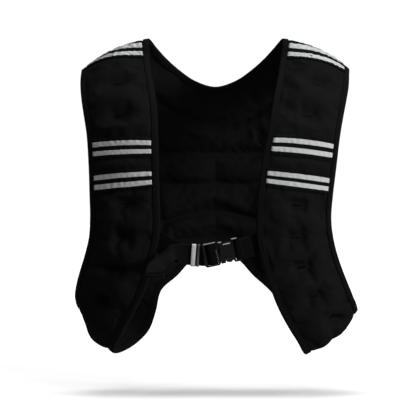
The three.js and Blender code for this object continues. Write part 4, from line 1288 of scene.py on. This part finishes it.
def web_tack(name, web, index, sign):
    """A dense row of threads across a webbing, on the face given by sign."""
    k = int(np.abs(web["at"] - index).argmin())
    steps = np.linspace(-10.5, 10.5, 30)[:, None]
    off = sign * web["face"][k] * (web["half"][k] + 0.2)
    c = web["centre"][k] + web["wide"][k] * steps + off
    along = unit(web["centre"][k + 1] - web["centre"][k - 1])
    a = np.broadcast_to(along, c.shape) + web["wide"][k] * 0.2
    u = np.broadcast_to(sign * web["face"][k], c.shape)
    return stitches(name, c, a, u, 2.6, 0.3)


thread_pieces += [
    web_tack("thread_webbing_right_a", web_right, 13.6, 1),
    web_tack("thread_webbing_right_b", web_right, 13.6, -1),
    web_tack("thread_tail_a", web_left, len(left_rows()) - 2.2, 1),
    web_tack("thread_tail_b", web_left, len(left_rows()) - 2.2, -1),
]
print("thread pieces:", len(thread_pieces))

# %% [markdown]
# The buckle is moulded in black acetal. Its shape in the frame is already the right one, so
# it only takes its finish here. It could be dressed with finer solids, but its edges are already
# chamfered, and those are what catches the light.

# %% The buckle's finish
for node in ("buckle_plug", "buckle_socket"):
    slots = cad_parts[node].data.materials
    slots.clear()
    slots.append(PLASTIC)
print("buckle finish:", PLASTIC.name)

# %% [markdown]
# Studio: the vest stands before white with a soft shadow under it. A plain white picture could be laid
# behind it, but a lit floor gives the shadow its real softness, and a painted shadow, an ellipse where the
# floor glows less, deepens it. A wide sun above lights the floor, a key light comes from the viewer's right
# and a weak light from in front.

# %% Floor, lights and colour management
FLOOR_Z = -0.4566


def eased(tree, value, start, end, low, high):
    """Maps start to end onto low to high with a smooth step."""
    node = tree.nodes.new("ShaderNodeMapRange")
    node.interpolation_type = "SMOOTHSTEP"
    ends = {"From Min": start, "From Max": end, "To Min": low, "To Max": high}
    for label, number in ends.items():
        node.inputs[label].default_value = number
    tree.links.new(value, node.inputs["Value"])
    return node.outputs["Result"]


def length_of(tree, vector):
    """The length of a vector."""
    node = tree.nodes.new("ShaderNodeVectorMath")
    node.operation = "LENGTH"
    tree.links.new(vector, node.inputs[0])
    return node.outputs["Value"]


def floor_finish():
    """White floor that glows for the camera only, more so away from the vest, so that it is evenly white.
    An ellipse under the vest glows less: a painted shadow that joins the real shadow under the vest."""
    material = bpy.data.materials.new("white floor")
    material.use_nodes = True
    tree = material.node_tree
    shader = tree.nodes["Principled BSDF"]
    shader.inputs["Base Color"].default_value = (0.36, 0.36, 0.36, 1)
    shader.inputs["Roughness"].default_value = 0.9
    shader.inputs["Specular IOR Level"].default_value = 0.0
    shader.inputs["Emission Color"].default_value = (1, 1, 1, 1)
    place = tree.nodes.new("ShaderNodeTexCoord")
    spread = eased(tree, length_of(tree, place.outputs["Object"]), 0.75, 1.3, 0.745, 1.0)
    # Painted shadow: the vest's own soft shadow is pale, so an ellipse under it glows less.
    painted_shadow_ellipse = tree.nodes.new("ShaderNodeMapping")
    painted_shadow_ellipse.inputs["Location"].default_value = (0, 0.25, 0)
    painted_shadow_ellipse.inputs["Scale"].default_value = (1 / 0.27, 1 / 0.098, 0)
    tree.links.new(place.outputs["Object"], painted_shadow_ellipse.inputs["Vector"])
    shade = eased(tree, length_of(tree, painted_shadow_ellipse.outputs["Vector"]), 0.1, 1.0, 0.49, 0.0)
    seen = tree.nodes.new("ShaderNodeLightPath")
    # The glow minus the ellipse: a painted shadow on the floor.
    even = maths(tree, "SUBTRACT", spread, shade)
    glow = maths(tree, "MULTIPLY", even, seen.outputs["Is Camera Ray"])
    tree.links.new(glow, shader.inputs["Emission Strength"])
    return material


corners = np.array([[-30, -30, 0], [30, -30, 0], [30, 30, 0], [-30, 30, 0]]) * 1000
corners = corners + [0, 0, FLOOR_Z * 1000]
floor = build_mesh("floor", corners, [[0, 1, 2, 3]], None, floor_finish())


def area_light(name, place, aim, size, watts):
    """A square light that looks at a point and makes no glint on the buckle."""
    data = bpy.data.lights.new(name, "AREA")
    data.size = size
    data.energy = watts
    lamp = bpy.data.objects.new(name, data)
    lamp.location = place
    way = Vector(np.array(aim) - np.array(place))
    lamp.rotation_euler = way.to_track_quat("-Z", "Y").to_euler()
    lamp.visible_glossy = False
    bpy.context.scene.collection.objects.link(lamp)


def studio_world():
    """White for the camera, dim for everything else, so that the black cloth stays black."""
    world = bpy.data.worlds.new("studio")
    world.use_nodes = True
    tree = world.node_tree
    background = tree.nodes["Background"]
    background.inputs["Color"].default_value = (1, 1, 1, 1)
    seen = tree.nodes.new("ShaderNodeLightPath")
    strength = maths(tree, "MULTIPLY_ADD", seen.outputs["Is Camera Ray"], 1.0, 0.035)
    tree.links.new(strength, background.inputs["Strength"])
    return world


def overhead(strength, angle):
    """An even soft light straight from above: it lights the whole floor alike."""
    data = bpy.data.lights.new("overhead", "SUN")
    data.energy = strength
    data.angle = angle
    lamp = bpy.data.objects.new("overhead", data)
    lamp.location = (0, 0, 2)
    bpy.context.scene.collection.objects.link(lamp)


VEST_MIDDLE = (0, 0, -0.2)
overhead(strength=1.7, angle=0.5)
area_light("key light", (1.85, -1.15, 0.3), VEST_MIDDLE, size=0.5, watts=46)
area_light("front light", (0.4, -1.5, 1.25), VEST_MIDDLE, size=0.25, watts=8.5)
bpy.context.scene.world = studio_world()
bpy.context.scene.view_settings.view_transform = "Standard"
